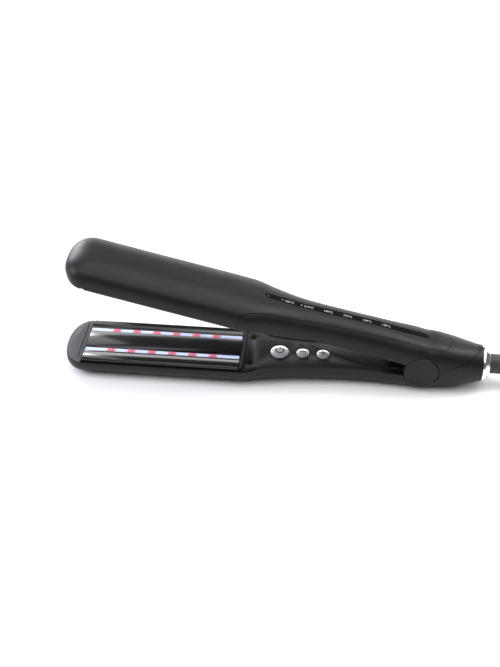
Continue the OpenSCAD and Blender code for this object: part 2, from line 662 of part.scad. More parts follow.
// Cord, its tied hank and the plug
module power_cord() {
    color("#1f1f20") difference() {
        union() {
            tube(lead_in, cord_r, 10);
            tube(lead_out, cord_r, 10);
        }
        translate([0, 0, -1]) linear_extrude(hank_h + 1) hank_plan();
    }
}
function hank_half_w(u) = hank_r - hank_pinch * (1 - cos(360 * u)) / 2;
module hank_plan() {
    steps = 16;
    span = hank_x1 - hank_x0;
    polygon(concat(
        [for (i = [1 : steps - 1]) [hank_x0 + span * i / steps, -hank_half_w(i / steps)]],
        [for (a = [-90 : 15 : 90]) [hank_x1 + hank_r * cos(a), hank_r * sin(a)]],
        [for (i = [steps - 1 : -1 : 1]) [hank_x0 + span * i / steps, hank_half_w(i / steps)]],
        [for (a = [90 : 15 : 270]) [hank_x0 + hank_r * cos(a), hank_r * sin(a)]]));
}
hank_mid = (hank_x0 + hank_x1) / 2;
tie_half_w = hank_half_w(0.5 + tie_w / 2 / (hank_x1 - hank_x0)) + 0.3;
module cord_hank() {
    color("#1f1f20") difference() {
        linear_extrude(hank_h) hank_plan();
        translate([hank_mid - tie_w / 2, -40, -1]) cube([tie_w, 80, 1 + tie_t]);
    }
}
module hank_tie() {
    color("#3b3b3d") difference() {
        translate([hank_mid - tie_w / 2, -tie_half_w - 1, 0])
            cube([tie_w, 2 * tie_half_w + 2, hank_h + 1]);
        translate([hank_mid - tie_w, -tie_half_w, tie_t])
            cube([2 * tie_w, 2 * tie_half_w, hank_h - tie_t]);
    }
}
module plug_body() {
    color("#232324") translate([plug_x0, plug_y, plug_z]) {
        rotate([0, 90, 0]) cylinder(r1 = cord_r + 1, r2 = 5.5, h = 14, $fn = 48);
        translate([13, 0, 0]) rotate([90, 0, 90]) linear_extrude(22) union() {
            square([14, 13.6], center = true);
            for (s = [-1, 1]) translate([s * 7, 0]) circle(r = 6.8, $fn = 48);
        }
    }
}
module plug_pins() {
    color("#d4d6d8") for (s = [-1, 1])
        translate([plug_x0 + 35, plug_y + s * 9.3, plug_z]) rotate([0, 90, 0]) {
            cylinder(r = 2, h = 17.5, $fn = 32);
            translate([0, 0, 17.4]) cylinder(r1 = 1.95, r2 = 1.2, h = 1.6, $fn = 32);
        }
}

lower_shell();
lower_tip_cover();
lower_deck();
lower_screws();
lower_float_pads();
button_board();
button_switches();
mains_wires();
lower_hinge_bracket();
hinge_pin();
hinge_spring();
hinge_cover_near();
hinge_cover_far();
swivel_socket();
cord_ring();
lower_plate();
lower_light_strips();
lower_lamps();
lower_lamp_boards();
lower_heater();
lower_heater_clamp();
lower_plate_carrier();
lower_end_bar();
power_button();
minus_button();
plus_button();
upper_housing();
upper_handle();
display_window();
display_leds();
display_board();
upper_tip_cover();
upper_deck();
upper_screws();
upper_float_pads();
upper_hinge_bracket();
upper_plate();
upper_light_strips();
upper_lamps();
upper_lamp_boards();
upper_heater();
upper_heater_clamp();
upper_plate_carrier();
upper_end_bar();
swivel_boot();
power_cord();
cord_hank();
hank_tie();
plug_body();
plug_pins();
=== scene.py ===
import json
import math

import bmesh
import bpy
from mathutils import Matrix, Vector


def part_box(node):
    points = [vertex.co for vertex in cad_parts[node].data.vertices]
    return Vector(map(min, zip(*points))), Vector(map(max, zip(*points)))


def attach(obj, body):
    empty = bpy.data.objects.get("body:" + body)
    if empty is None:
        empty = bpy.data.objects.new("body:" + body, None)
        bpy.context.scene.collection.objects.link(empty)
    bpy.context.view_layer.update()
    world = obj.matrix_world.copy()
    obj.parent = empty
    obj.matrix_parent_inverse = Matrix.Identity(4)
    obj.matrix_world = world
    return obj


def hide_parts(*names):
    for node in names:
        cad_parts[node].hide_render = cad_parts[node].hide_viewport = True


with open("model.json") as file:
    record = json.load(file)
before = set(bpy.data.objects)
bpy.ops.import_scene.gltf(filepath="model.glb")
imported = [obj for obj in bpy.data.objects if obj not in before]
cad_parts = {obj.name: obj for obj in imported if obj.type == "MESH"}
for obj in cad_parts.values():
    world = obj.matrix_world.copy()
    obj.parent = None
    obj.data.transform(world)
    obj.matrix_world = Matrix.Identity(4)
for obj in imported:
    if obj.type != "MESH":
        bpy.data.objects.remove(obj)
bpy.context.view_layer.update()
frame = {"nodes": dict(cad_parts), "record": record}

MM = 0.001
scene = bpy.context.scene
scene.view_settings.view_transform = "Standard"


def box_mm(node):
    low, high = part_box(node)
    return [c / MM for c in low], [c / MM for c in high]


# ---------------- sizes shared with the part
HINGE = [j for j in frame["record"]["behaviour"]["joints"] if j["name"] == "arm_hinge"][0]
HINGE_X = HINGE["pos_m"][0] / MM
PARTING = HINGE["pos_m"][2] / MM
OPEN = math.radians(-HINGE["range_deg"][0])
PLATE_LOW, PLATE_HIGH = box_mm("lower_plate")
PLATE_X0, PLATE_X1 = PLATE_LOW[0], PLATE_HIGH[0]
PLATE_HALF_W = PLATE_HIGH[1]
TIP_X = box_mm("lower_shell")[0][0]
BACK_X = box_mm("cord_ring")[1][0]
RING_R = box_mm("cord_ring")[1][1]
CORD_Z, CORD_R = 16.5, 3.0
RING_LEN = 5.0
RING_X = BACK_X - RING_LEN
NOSE_LEN = 15.0
FRONT_X = PLATE_X0 - 14.0
LOWER_NOSE, UPPER_NOSE = (17.8, 1.7), (19.2, 3.4)  # height, and how far it leans forward
RIM, WALL = 3.3, 1.45
LIP_T, LIP_INSET = 0.9, 0.3
DECK_D, DECK_T = 2.3, 2.4  # below the parting plane, and thick
COVER_R = 12.0
POCKET_R = COVER_R + 0.35
BLOCK_X0 = HINGE_X - 10  # front of the solid block that holds the hinge
BOOT_X1 = BACK_X + 40.0
SEAM_X, SEAM_Z, SEAM_RISE, SEAM_GAP = HINGE_X + 15.0, PARTING + 3.0, 0.38, 0.35
STRIP_Y, STRIP_HALF_W = 11.0, 1.5
LAMPS_A_STRIP, LAMP_PITCH = 6, 14.5
LENS_DROP, LENS_T = 0.12, 1.3  # the display lens: below the tongue's crown, and thick
AT_TIP = -math.inf  # start of a stretch of the casing that begins at its tip
ASIDE = 30  # half width of a cutter that passes both sides of the iron

# Each list holds rows (x, value) of one smooth curve along the arms
ARM_HALF_W = PLATE_HALF_W + 0.4 + WALL
HALF_WIDTHS = [(PLATE_X1 + 1, ARM_HALF_W), (PLATE_X1 + 15, 20.6), (PLATE_X1 + 30, 17.6),
               (PLATE_X1 + 50, 15.8), (PLATE_X1 + 72, 15.2), (PLATE_X1 + 95, 15.4),
               (HINGE_X, 16.8), (HINGE_X + 20, 16.2), (HINGE_X + 34, 14.2), (RING_X, RING_R)]
DEPTHS = [(PLATE_X1, LOWER_NOSE[0]), (PLATE_X1 + 30, 17.2), (PLATE_X1 + 75, 17.2),
          (HINGE_X, 17.9), (HINGE_X + 20, 17), (HINGE_X + 34, 14.6), (RING_X, RING_R)]
HEIGHTS = [(PLATE_X0 + 30, UPPER_NOSE[0]), (PLATE_X1 - 10, 19.6), (PLATE_X1 + 15, 18.8),
           (PLATE_X1 + 32, 18.3), (PLATE_X1 + 65, 19.2), (PLATE_X1 + 95, 19.8),
           (HINGE_X, 19.7), (HINGE_X + 20, 16.6), (HINGE_X + 34, 14), (RING_X, RING_R)]
SQUARENESS = [(PLATE_X1, 2.9), (PLATE_X1 + 50, 2.6), (PLATE_X1 + 95, 2.7), (HINGE_X, 3),
              (HINGE_X + 20, 2.6), (HINGE_X + 34, 2.2), (RING_X, 2)]
SPINE_DROPS = [(HINGE_X, 0), (RING_X, PARTING - CORD_Z)]
RIMS = [(HINGE_X - 9, RIM), (HINGE_X - 2, 0)]
NECK_RISE = 1.4
LOWER_RIMS = [(PLATE_X1 + 2, RIM), (PLATE_X1 + 22, RIM - NECK_RISE),
              (HINGE_X - 33, RIM - NECK_RISE), (HINGE_X - 17, RIM)]
NECK_SWELLS = [(PLATE_X1 + 4, 0), (PLATE_X1 + 26, 1.1), (PLATE_X1 + 48, 1), (PLATE_X1 + 74, 0)]
REAR_TILTS = [(HINGE_X, OPEN), (RING_X, 0)]
TONGUE_X0, TONGUE_X1 = PLATE_X1 - 8, HINGE_X + 15.2
TONGUE = [(TONGUE_X0 + 0.5, 26), (PLATE_X1 - 5.9, 22), (PLATE_X1 + 0.3, 19.8),
          (PLATE_X1 + 7.8, 17.4), (PLATE_X1 + 20.3, 14.5), (PLATE_X1 + 57, 10.9),
          (PLATE_X1 + 96, 10.3), (HINGE_X + 5, 10.8), (HINGE_X + 8.6, 10.4),
          (HINGE_X + 11.6, 8.7), (HINGE_X + 13.8, 5.6), (TONGUE_X1 - 0.3, 2.2)]
WINDOW_X0, WINDOW_X1, WINDOW_R = PLATE_X1 + 8.3, HINGE_X - 1, 2.5


def smooth(rows, x):
    """Monotone curve through (x, value) rows, the same one that the part uses."""
    if x <= rows[0][0]:
        return rows[0][1]
    if x >= rows[-1][0]:
        return rows[-1][1]

    def slope(i):
        if i in (0, len(rows) - 1):
            return 0.0
        a = (rows[i][1] - rows[i - 1][1]) / (rows[i][0] - rows[i - 1][0])
        b = (rows[i + 1][1] - rows[i][1]) / (rows[i + 1][0] - rows[i][0])
        return 0.0 if a * b <= 0 else 2 * a * b / (a + b)

    i = max(k for k in range(len(rows) - 1) if rows[k][0] <= x)
    h = rows[i + 1][0] - rows[i][0]
    u = (x - rows[i][0]) / h
    return ((2 * u**3 - 3 * u**2 + 1) * rows[i][1] + (u**3 - 2 * u**2 + u) * slope(i) * h
            + (3 * u**2 - 2 * u**3) * rows[i + 1][1] + (u**3 - u**2) * slope(i + 1) * h)


def ease(u):
    u = min(max(u, 0.0), 1.0)
    return u * u * (3 - 2 * u)


def bulge(u, n):
    """Rises from 0 to 1 as u does, blunt at the start like an ellipse of power n."""
    v = min(max(u, 0.0), 1.0)
    return (1 - (1 - v) ** n) ** (1 / n)


def half_w(x, inset=0.0):
    """Half width of an arm in plan, at inset from its outside."""
    return (smooth(HALF_WIDTHS, x) - inset) * bulge((x - FRONT_X - inset) / NOSE_LEN, 2.2)


def grown(full, x, inset, nose):
    """Height of a casing half, which swells from its rim to full over the nose."""
    r = smooth(RIMS, x)
    return r + (full - inset - r) * bulge((x - FRONT_X - inset) / nose, 2.3)


def lean(x, v, height, most):
    """How far a nose leans forward at x and at v above the parting plane."""
    along = max(1 - max((x - FRONT_X) / 30, 0) ** 2, 0)
    return most * math.sin(math.pi * min(max(v / height, 0), 1)) * along


def squarish(c, n):
    """A cosine or sine bent to square up an ellipse; n is 2 for a true one."""
    return math.copysign(abs(c) ** (2 / n), c)


def half_section(w, v0, v1, n, steps):
    """Points (y, v) over a casing half, from +w to -w."""
    out = []
    for i in range(steps + 1):
        a = math.pi * i / steps
        rise = 0.0 if i in (0, steps) else abs(math.sin(a))
        out.append((w * squarish(math.cos(a), n), v0 + (v1 - v0) * squarish(rise, n)))
    return out


def circle(r, steps, x=0.0, y=0.0):
    turns = [2 * math.pi * k / steps for k in range(steps)]
    return [(x + r * math.cos(a), y + r * math.sin(a)) for a in turns]


def rounded(x0, x1, y0, y1, r, steps, low_r=None):
    """Rectangle with round corners, of which the lower two may have their own radius."""
    out = []
    for right, upper, start in ((1, 1, 0), (0, 1, 90), (0, 0, 180), (1, 0, 270)):
        q = r if upper or low_r is None else low_r
        for i in range(steps + 1):
            a = math.radians(start + 90 * i / steps)
            out.append(((x1 - q if right else x0 + q) + q * math.cos(a),
                        (y1 - q if upper else y0 + q) + q * math.sin(a)))
    return out


# ---------------- mesh helpers
def new_object(name, data, body, slot, material, *nodes):
    """A finished piece on a body, standing for the CAD nodes named last."""
    obj = bpy.data.objects.new(name, data)
    scene.collection.objects.link(obj)
    data.materials.clear()
    data.materials.append(material)
    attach(obj, body)
    for node in nodes:
        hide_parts(node)
    return obj


def to_mesh(name, points, faces, smooth_deg=32):
    mesh = bpy.data.meshes.new(name)
    mesh.from_pydata([Vector(p) * MM for p in points], [], faces)
    tidy(mesh, smooth_deg)
    return mesh


def tidy(mesh, smooth_deg=32, merge=1e-6):
    """Merges doubled points, turns faces outward and marks the sharp edges."""
    bm = bmesh.new()
    bm.from_mesh(mesh)
    bmesh.ops.remove_doubles(bm, verts=bm.verts, dist=merge)
    bmesh.ops.recalc_face_normals(bm, faces=bm.faces)
    limit = math.radians(smooth_deg)
    for e in bm.edges:
        e.smooth = len(e.link_faces) == 2 and e.calc_face_angle(0) < limit
    for f in bm.faces:
        f.smooth = True
    bm.to_mesh(mesh)
    bm.free()


def loft(name, rings, smooth_deg=32):
    """Closed solid through rings that all have the same count."""
    n = len(rings[0])
    points = [p for ring in rings for p in ring]
    faces = [(i * n + j, i * n + (j + 1) % n, (i + 1) * n + (j + 1) % n, (i + 1) * n + j)
             for i in range(len(rings) - 1) for j in range(n)]
    faces += [tuple(range(n)), tuple(range(len(points) - n, len(points)))]
    return to_mesh(name, points, faces, smooth_deg)


def lathe(name, profile, place, steps=96, smooth_deg=32):
    """Solid turned from a closed (r, h) profile. place(r, angle, h) gives the point."""
    n = len(profile)
    points = [place(r, 2 * math.pi * k / steps, h) for k in range(steps) for r, h in profile]
    faces = [(k * n + j, k * n + (j + 1) % n, (k + 1) % steps * n + (j + 1) % n,
              (k + 1) % steps * n + j) for k in range(steps) for j in range(n)]
    return to_mesh(name, points, faces, smooth_deg)


def prism(name, outline, d0, d1, place=lambda x, y, z: (x, y, z)):
    """Flat outline (x, y) drawn out between two heights."""
    return loft(name, [[place(x, y, d) for x, y in outline] for d in (d0, d1)])


def scratch(mesh):
    obj = bpy.data.objects.new("cutter", mesh)
    scene.collection.objects.link(obj)
    return obj


def carve(mesh, steps, merge=1e-6):
    """mesh after boolean steps [(tool mesh, "DIFFERENCE" or "INTERSECT" or "UNION")]."""
    base = scratch(mesh)
    tools = []
    for tool, operation in steps:
        tools.append(scratch(tool))
        m = base.modifiers.new("cut", "BOOLEAN")
        m.object, m.operation, m.solver = tools[-1], operation, "EXACT"
    graph = bpy.context.evaluated_depsgraph_get()
    made = bpy.data.meshes.new_from_object(base.evaluated_get(graph))
    made.name = mesh.name
    for o in [base, *tools]:
        bpy.data.objects.remove(o)
    tidy(made, merge=merge)
    return made


def bevelled(mesh, width, segments=2, angle=35):
    """mesh with its edges rounded where they turn by more than angle."""
    base = scratch(mesh)
    m = base.modifiers.new("edge", "BEVEL")
    m.width, m.segments, m.limit_method = width * MM, segments, "ANGLE"
    m.angle_limit = math.radians(angle)
    graph = bpy.context.evaluated_depsgraph_get()
    made = bpy.data.meshes.new_from_object(base.evaluated_get(graph))
    bpy.data.objects.remove(base)
    tidy(made)
    return made


def joined(name, meshes):
    """One mesh holding several separate closed ones."""
    bm = bmesh.new()
    for m in meshes:
        bm.from_mesh(m)
    out = bpy.data.meshes.new(name)
    bm.to_mesh(out)
    bm.free()
    return out


def turned(mesh, matrix):
    """Copy of a mesh through a matrix, its faces still outward after a mirroring."""
    out = mesh.copy()
    out.transform(matrix)
    if matrix.determinant() < 0:
        out.flip_normals()
    return out


PIVOT = Vector((HINGE_X, 0, PARTING)) * MM
OPENED = Matrix.Translation(PIVOT) @ Matrix.Rotation(OPEN, 4, "Y") @ Matrix.Translation(-PIVOT)
MIRROR = Matrix.Translation((0, 0, 2 * PARTING * MM)) @ Matrix.Diagonal((1, 1, -1, 1))
FACING = OPENED @ MIRROR


def on_both_floats(kind, mesh, slot, material, upper_material=None):
    """The same piece on the lower plate and, mirrored and opened, on the upper plate."""
    new_object(f"{kind}_lower", mesh, "lower_plate_float", slot, material, f"lower_{kind}")
    new_object(f"{kind}_upper", turned(mesh, FACING), "upper_plate_float", slot,
               upper_material or material, f"upper_{kind}")


# ---------------- materials
class Shader:
    """A Principled material with helpers for procedural inputs, in object coordinates."""

    def __init__(self, name, **sockets):
        self.mat = bpy.data.materials.new(name)
        self.mat.use_nodes = True
        self.nodes, self.links = self.mat.node_tree.nodes, self.mat.node_tree.links
        self.bsdf = self.nodes["Principled BSDF"]
        for key, value in sockets.items():
            self.bsdf.inputs[key.replace("_", " ")].default_value = value
        self.coords = self.nodes.new("ShaderNodeTexCoord").outputs["Object"]
        self.height = None

    def noise(self, scale, detail=3.0, stretch=(1, 1, 1), rough=0.5):
        mapping = self.nodes.new("ShaderNodeMapping")
        mapping.inputs["Scale"].default_value = stretch
        self.links.new(self.coords, mapping.inputs["Vector"])
        tex = self.nodes.new("ShaderNodeTexNoise")
        tex.inputs["Scale"].default_value = scale
        tex.inputs["Detail"].default_value = detail
        tex.inputs["Roughness"].default_value = rough
        self.links.new(mapping.outputs["Vector"], tex.inputs["Vector"])
        return tex.outputs["Fac"]

    def cells(self, scale):
        tex = self.nodes.new("ShaderNodeTexVoronoi")
        tex.inputs["Scale"].default_value = scale
        self.links.new(self.coords, tex.inputs["Vector"])
        return tex.outputs["Distance"]

    def spread(self, source, low, high, from_low=0.3, from_high=0.7):
        node = self.nodes.new("ShaderNodeMapRange")
        for key, value in (("From Min", from_low), ("From Max", from_high),
                           ("To Min", low), ("To Max", high)):
            node.inputs[key].default_value = value
        self.links.new(source, node.inputs["Value"])
        return node.outputs["Result"]

    def colour(self, source, first, second):
        node = self.nodes.new("ShaderNodeMix")
        node.data_type = "RGBA"
        node.inputs[6].default_value = (*first, 1)
        node.inputs[7].default_value = (*second, 1)
        self.links.new(source, node.inputs["Factor"])
        self.links.new(node.outputs[2], self.bsdf.inputs["Base Color"])
        return node.outputs[2]

    def roughness(self, source, low, high):
        self.links.new(self.spread(source, low, high), self.bsdf.inputs["Roughness"])

    def bump(self, source, strength, distance_mm):
        node = self.nodes.new("ShaderNodeBump")
        node.inputs["Strength"].default_value = strength
        node.inputs["Distance"].default_value = distance_mm * MM
        self.links.new(source, node.inputs["Height"])
        if self.height:
            self.links.new(self.height, node.inputs["Normal"])
        self.height = node.outputs["Normal"]
        self.links.new(self.height, self.bsdf.inputs["Normal"])


def moulded(name, dark, light, rough, grain, depth, **sockets):
    """Moulded plastic or rubber: fine eroded grain, soft patches of gloss and colour."""
    s = Shader(name, **sockets)
    s.colour(s.spread(s.noise(45, 2), 0, 1), dark, light)
    s.roughness(s.noise(135, 4), *rough)
    s.bump(s.noise(grain, 2, rough=0.6), 0.5, depth)
    s.bump(s.cells(grain * 0.6), 0.25, depth)
    return s.mat


def metal(name, dark, light, rough, stretch=(1, 1, 1), depth=0.002, **sockets):
    """Plated or drawn metal with faint lines and a little uneven polish."""
    s = Shader(name, **{"Metallic": 1.0, **sockets})
    s.colour(s.spread(s.noise(60, 3), 0, 1), dark, light)
    s.roughness(s.noise(900, 3, stretch), *rough)
    s.bump(s.noise(1800, 2, stretch), 0.3, depth)
    return s.mat


def gloss(name, dark, light, rough, **sockets):
    """Polished or coated surface with faint waviness and fine polishing marks."""
    s = Shader(name, **sockets)
    s.colour(s.spread(s.noise(30, 2), 0, 1), dark, light)
    s.roughness(s.noise(160, 5, (0.35, 1, 1)), *rough)
    s.bump(s.noise(70, 2, (0.4, 1, 1)), 0.2, 0.01)
    return s.mat


SOFT_BLACK = moulded("soft_touch_black", (0.0045, 0.0045, 0.0047), (0.0065, 0.0063, 0.0062),
                     (0.38, 0.48), 2400, 0.012, Specular_IOR_Level=0.26)
DECK_BLACK = moulded("satin_black", (0.008, 0.0098, 0.0092), (0.011, 0.013, 0.0122),
                     (0.40, 0.50), 1500, 0.02, Specular_IOR_Level=0.24)
TIP_GREY = moulded("heat_resistant_grey", (0.052, 0.052, 0.056), (0.064, 0.064, 0.068),
                   (0.52, 0.62), 1700, 0.018)
BAR_BLACK = moulded("bar_black", (0.014, 0.014, 0.015), (0.02, 0.02, 0.021),
                    (0.30, 0.42), 1900, 0.012)
SCREW_BLACK = metal("black_oxide", (0.015, 0.015, 0.016), (0.035, 0.034, 0.033), (0.3, 0.5))
PLATE_GLOSS = gloss("black_plate_coating", (0.006, 0.006, 0.007), (0.009, 0.009, 0.010),
                    (0.10, 0.19), Coat_Weight=0.12, Coat_Roughness=0.08)
DISPLAY = gloss("dark_window", (0.0035, 0.0035, 0.004), (0.006, 0.006, 0.0065), (0.06, 0.14),
                Specular_IOR_Level=0.3, Coat_Weight=0.15, Coat_Roughness=0.03)
CHROME = metal("chrome_plating", (0.84, 0.85, 0.86), (0.93, 0.93, 0.94), (0.10, 0.20))
SATIN_CHROME = metal("satin_chrome_caps", (0.86, 0.87, 0.88), (0.94, 0.94, 0.95), (0.14, 0.22),
                     Metallic=0.3)
PIN_METAL = metal("nickel_pins", (0.62, 0.61, 0.58), (0.72, 0.71, 0.68), (0.18, 0.3),
                  (0.15, 1, 1))
STEEL = metal("zinc_steel", (0.42, 0.43, 0.45), (0.55, 0.56, 0.58), (0.25, 0.42),
              (0.2, 1, 1), depth=0.004)
RUBBER = moulded("cord_rubber", (0.018, 0.018, 0.019), (0.027, 0.027, 0.028),
                 (0.50, 0.64), 1300, 0.02)
TIE = moulded("woven_tie", (0.03, 0.03, 0.032), (0.055, 0.055, 0.058), (0.7, 0.85), 2200, 0.05)
BOARD = moulded("circuit_board", (0.02, 0.10, 0.045), (0.03, 0.14, 0.06), (0.3, 0.45), 800,
                0.02)
CERAMIC = moulded("ceramic_heater", (0.55, 0.46, 0.3), (0.68, 0.6, 0.42), (0.6, 0.8), 1200,
                  0.03)
CARRIER = moulded("carrier_moulding", (0.16, 0.12, 0.085), (0.22, 0.17, 0.125), (0.5, 0.65),
                  1300, 0.03)
SILICONE = moulded("silicone_pads", (0.28, 0.06, 0.04), (0.36, 0.09, 0.06), (0.5, 0.65),
                   1000, 0.02)
SOCKET = moulded("acetal_socket", (0.10, 0.10, 0.105), (0.15, 0.15, 0.155), (0.35, 0.5),
                 1400, 0.015)
INK = moulded("white_legend", (0.46, 0.46, 0.48), (0.58, 0.58, 0.60), (0.5, 0.6), 3000, 0.005)
ENAMEL = moulded("dark_enamel", (0.006, 0.006, 0.007), (0.012, 0.012, 0.013), (0.25, 0.4),
                 2000, 0.006)


def lit(s, colour, strength, rough):
    """Finish of a frosted cover that glows in its own colour."""
    s.links.new(colour, s.bsdf.inputs["Emission Color"])
    s.bsdf.inputs["Emission Strength"].default_value = strength
    s.roughness(s.noise(500, 3), *rough)
    s.bump(s.noise(1800, 2), 0.3, 0.01)
    return s.mat


def glowing(name, dark, light, strength, rough):
    """Milky light cover: frosted skin over an even, slightly mottled glow."""
    s = Shader(name, Subsurface_Weight=0.15, Subsurface_Radius=(0.002, 0.002, 0.002))
    return lit(s, s.colour(s.spread(s.noise(220, 3), 0, 1), dark, light), strength, rough)


def lamp_glow(name, along):
    """Red lamp lens that pales towards its ends; along is the plate's length direction."""
    s = Shader(name)
    middle = (HINGE_X - (PLATE_X0 + PLATE_X1) / 2) * MM
    half_pitch = LAMP_PITCH / 2
    whole_pitches = 40 * LAMP_PITCH * MM  # keeps the wave's input positive
    place = s.nodes.new("ShaderNodeVectorMath")
    place.operation = "DOT_PRODUCT"
    place.inputs[1].default_value = along
    s.links.new(s.coords, place.inputs[0])
    shift = s.nodes.new("ShaderNodeMath")
    shift.operation = "SUBTRACT"
    shift.inputs[1].default_value = Vector(along).dot(PIVOT) - middle - whole_pitches
    s.links.new(place.outputs["Value"], shift.inputs[0])
    wave = s.nodes.new("ShaderNodeMath")
    wave.operation = "PINGPONG"
    wave.inputs[1].default_value = half_pitch * MM
    s.links.new(shift.outputs["Value"], wave.inputs[0])
    fade = s.spread(wave.outputs["Value"], 0, 1, (half_pitch - 1.9) * MM, (half_pitch - 3.8) * MM)
    return lit(s, s.colour(fade, (0.60, 0.14, 0.21), (0.54, 0.59, 0.80)), 0.36, (0.2, 0.35))


STRIP = glowing("milky_strip", (0.46, 0.53, 0.73), (0.58, 0.65, 0.85), 0.44, (0.25, 0.4))
LED = glowing("led_white", (0.8, 0.85, 0.95), (0.9, 0.93, 1.0), 0.9, (0.2, 0.3))
LAMP_LOWER = lamp_glow("red_lamp_lower", (1, 0, 0))
LAMP_UPPER = lamp_glow("red_lamp_upper", (math.cos(OPEN), 0, -math.sin(OPEN)))


# ---------------- camera
TARGET = Vector((HINGE_X - 119.5, 0, PARTING + 12.9)) * MM
AZIMUTH, ELEVATION, DISTANCE = math.radians(5.45), math.radians(38.5), 0.680
FOCAL_OVER_HEIGHT = 972 / 667


def add_camera():
    data = bpy.data.cameras.new("camera")
    cam = bpy.data.objects.new("camera", data)
    scene.collection.objects.link(cam)
    away = Vector((math.sin(AZIMUTH) * math.cos(ELEVATION),
                   -math.cos(AZIMUTH) * math.cos(ELEVATION), math.sin(ELEVATION)))
    cam.location = TARGET + away * DISTANCE
    cam.rotation_euler = (-away).to_track_quat("-Z", "Y").to_euler()
    data.sensor_width = 36
    data.lens = FOCAL_OVER_HEIGHT * data.sensor_width
    data.clip_start, data.clip_end = 0.01, 20
    scene.camera = cam


add_camera()


# ---------------- cord, hank and plug
# The boot's lead, five and a half turns of the hank, and the lead that runs out to the plug
HANK_X0, HANK_SPAN, HANK_PINCH = BACK_X + 116, 92, 10
HANK_X1 = HANK_X0 + HANK_SPAN
HANK_MID = (HANK_X0 + HANK_X1) / 2
TIE_HALF_LEN, TIE_HALF_W, TIE_TOP, TIE_CORNER, TIE_T = 6, 17.9, 19.3, 5.0, 0.75
LEAD_IN = [(186, 0, 16.5), (192, 0, 16.5), (198, -0.3, 16.2), (205, -1.6, 14.6),
           (213, -4.4, 11.3), (221, -8, 7.5), (229, -12, 4.7), (237, -15.8, 3.4),
           (245, -19, 3.05), (252, -21.4, 3), (259, -23.1, 3)]
LEAD_OUT = [(357, -18, 19.6), (364, -18, 21.2), (371, -17.9, 21.9), (378, -17.6, 21.7),
            (386, -16.6, 19.8), (394, -15, 16.6), (402, -13, 13), (410, -11.4, 9.8),
            (418, -10.3, 7.6), (426, -10, 7)]
LANES = [(24, 0), (18, 0), (18, 1), (24, 1), (24, 2), (18, 2)]  # fold radius, layer
LANE_CHANGE, LAST_RISE = 50, 4.2
RUN_STEPS, FOLD_STEPS = 12, 10


def pinch(x):
    """How far the tie draws the hank's runs in towards the middle."""
    return HANK_PINCH * (1 - math.cos(2 * math.pi * (x - HANK_X0) / HANK_SPAN)) / 2


def layer_z(layer, x):
    """Height of a layer of the hank, a little closer together on the tie's lower strap."""
    free, tied = CORD_R + 6.2 * layer, CORD_R + TIE_T + 6.0 * layer
    near = 1 - ease((abs(x - HANK_MID) - TIE_HALF_LEN) / 16)
    return free + (tied - free) * near


def hank_points():
    """The cord's route round the hank, from lane to lane."""
    points = []
    last = len(LANES) - 1
    stagger = (HANK_SPAN - LANE_CHANGE) / (last - 1)
    for k, (r, layer) in enumerate(LANES):
        for i in range(RUN_STEPS):
            x = HANK_X0 + HANK_SPAN * i / RUN_STEPS
            rise = ease((x - HANK_MID - 8) / (HANK_SPAN / 2 - 2)) if k == last else 0
            points.append((x, pinch(x) - r, layer_z(layer, x) + LAST_RISE * rise))
        if k == last:
            return points
        for i in range(FOLD_STEPS):
            a = math.pi * (i / FOLD_STEPS - 0.5)
            points.append((HANK_X1 + r * math.cos(a), r * math.sin(a), layer_z(layer, HANK_X1)))
        r2, layer2 = LANES[k + 1]
        for i in range(RUN_STEPS):
            x = HANK_X1 - HANK_SPAN * i / RUN_STEPS
            u = ease((HANK_X1 - x - (last - 1 - k) * stagger) / LANE_CHANGE)
            points.append((x, r + (r2 - r) * u - pinch(x),
                           layer_z(layer, x) * (1 - u) + layer_z(layer2, x) * u))
        for i in range(FOLD_STEPS):
            a = math.pi * (i / FOLD_STEPS + 0.5)
            points.append((HANK_X0 + r2 * math.cos(a), r2 * math.sin(a),
                           layer_z(layer2, HANK_X0)))


def eased_path(points, steps):
    """Smooth curve through the points, with extra points between them."""
    p = [Vector(q) for q in points]
    out = []
    for i in range(len(p) - 1):
        a, b, c, d = p[max(i - 1, 0)], p[i], p[i + 1], p[min(i + 2, len(p) - 1)]
        for k in range(steps):
            u = k / steps
            out.append(0.5 * (2 * b + (c - a) * u + (2 * a - 5 * b + 4 * c - d) * u * u
                              + (3 * b - a - 3 * c + d) * u**3))
    return out + [p[-1]]


def add_cord():
    curve = bpy.data.curves.new("power_cord", "CURVE")
    curve.dimensions = "3D"
    curve.bevel_depth, curve.bevel_resolution = CORD_R * MM, 4
    curve.use_fill_caps = True
    line = eased_path(LEAD_IN + hank_points() + LEAD_OUT, 4)
    spline = curve.splines.new("POLY")
    spline.points.add(len(line) - 1)
    for point, place in zip(spline.points, line):
        point.co = (*(place * MM), 1)
    spline.use_smooth = True
    return new_object("mains_cord", curve, "lower_arm", "rubber_black", RUBBER,
                      "power_cord", "cord_hank")


def add_tie():
    """Woven band round the hank's waist, with softened edges."""
    rows = []
    for x, inset in ((-TIE_HALF_LEN, 0.25), (-TIE_HALF_LEN + 0.4, 0), (TIE_HALF_LEN - 0.4, 0),
                     (TIE_HALF_LEN, 0.25), (TIE_HALF_LEN, TIE_T), (-TIE_HALF_LEN, TIE_T)):
        loop = rounded(inset - TIE_HALF_W, TIE_HALF_W - inset, inset, TIE_TOP - inset,
                       TIE_CORNER - inset, 8)
        rows.append([(HANK_MID + x, y, z) for y, z in loop])
    m, n = len(rows), len(rows[0])
    faces = [(i * n + j, i * n + (j + 1) % n, (i + 1) % m * n + (j + 1) % n,
              (i + 1) % m * n + j) for i in range(m) for j in range(n)]
    mesh = to_mesh("hank_band", [p for row in rows for p in row], faces)
    return new_object("hank_band", mesh, "lower_arm", "rubber_black", TIE, "hank_tie")


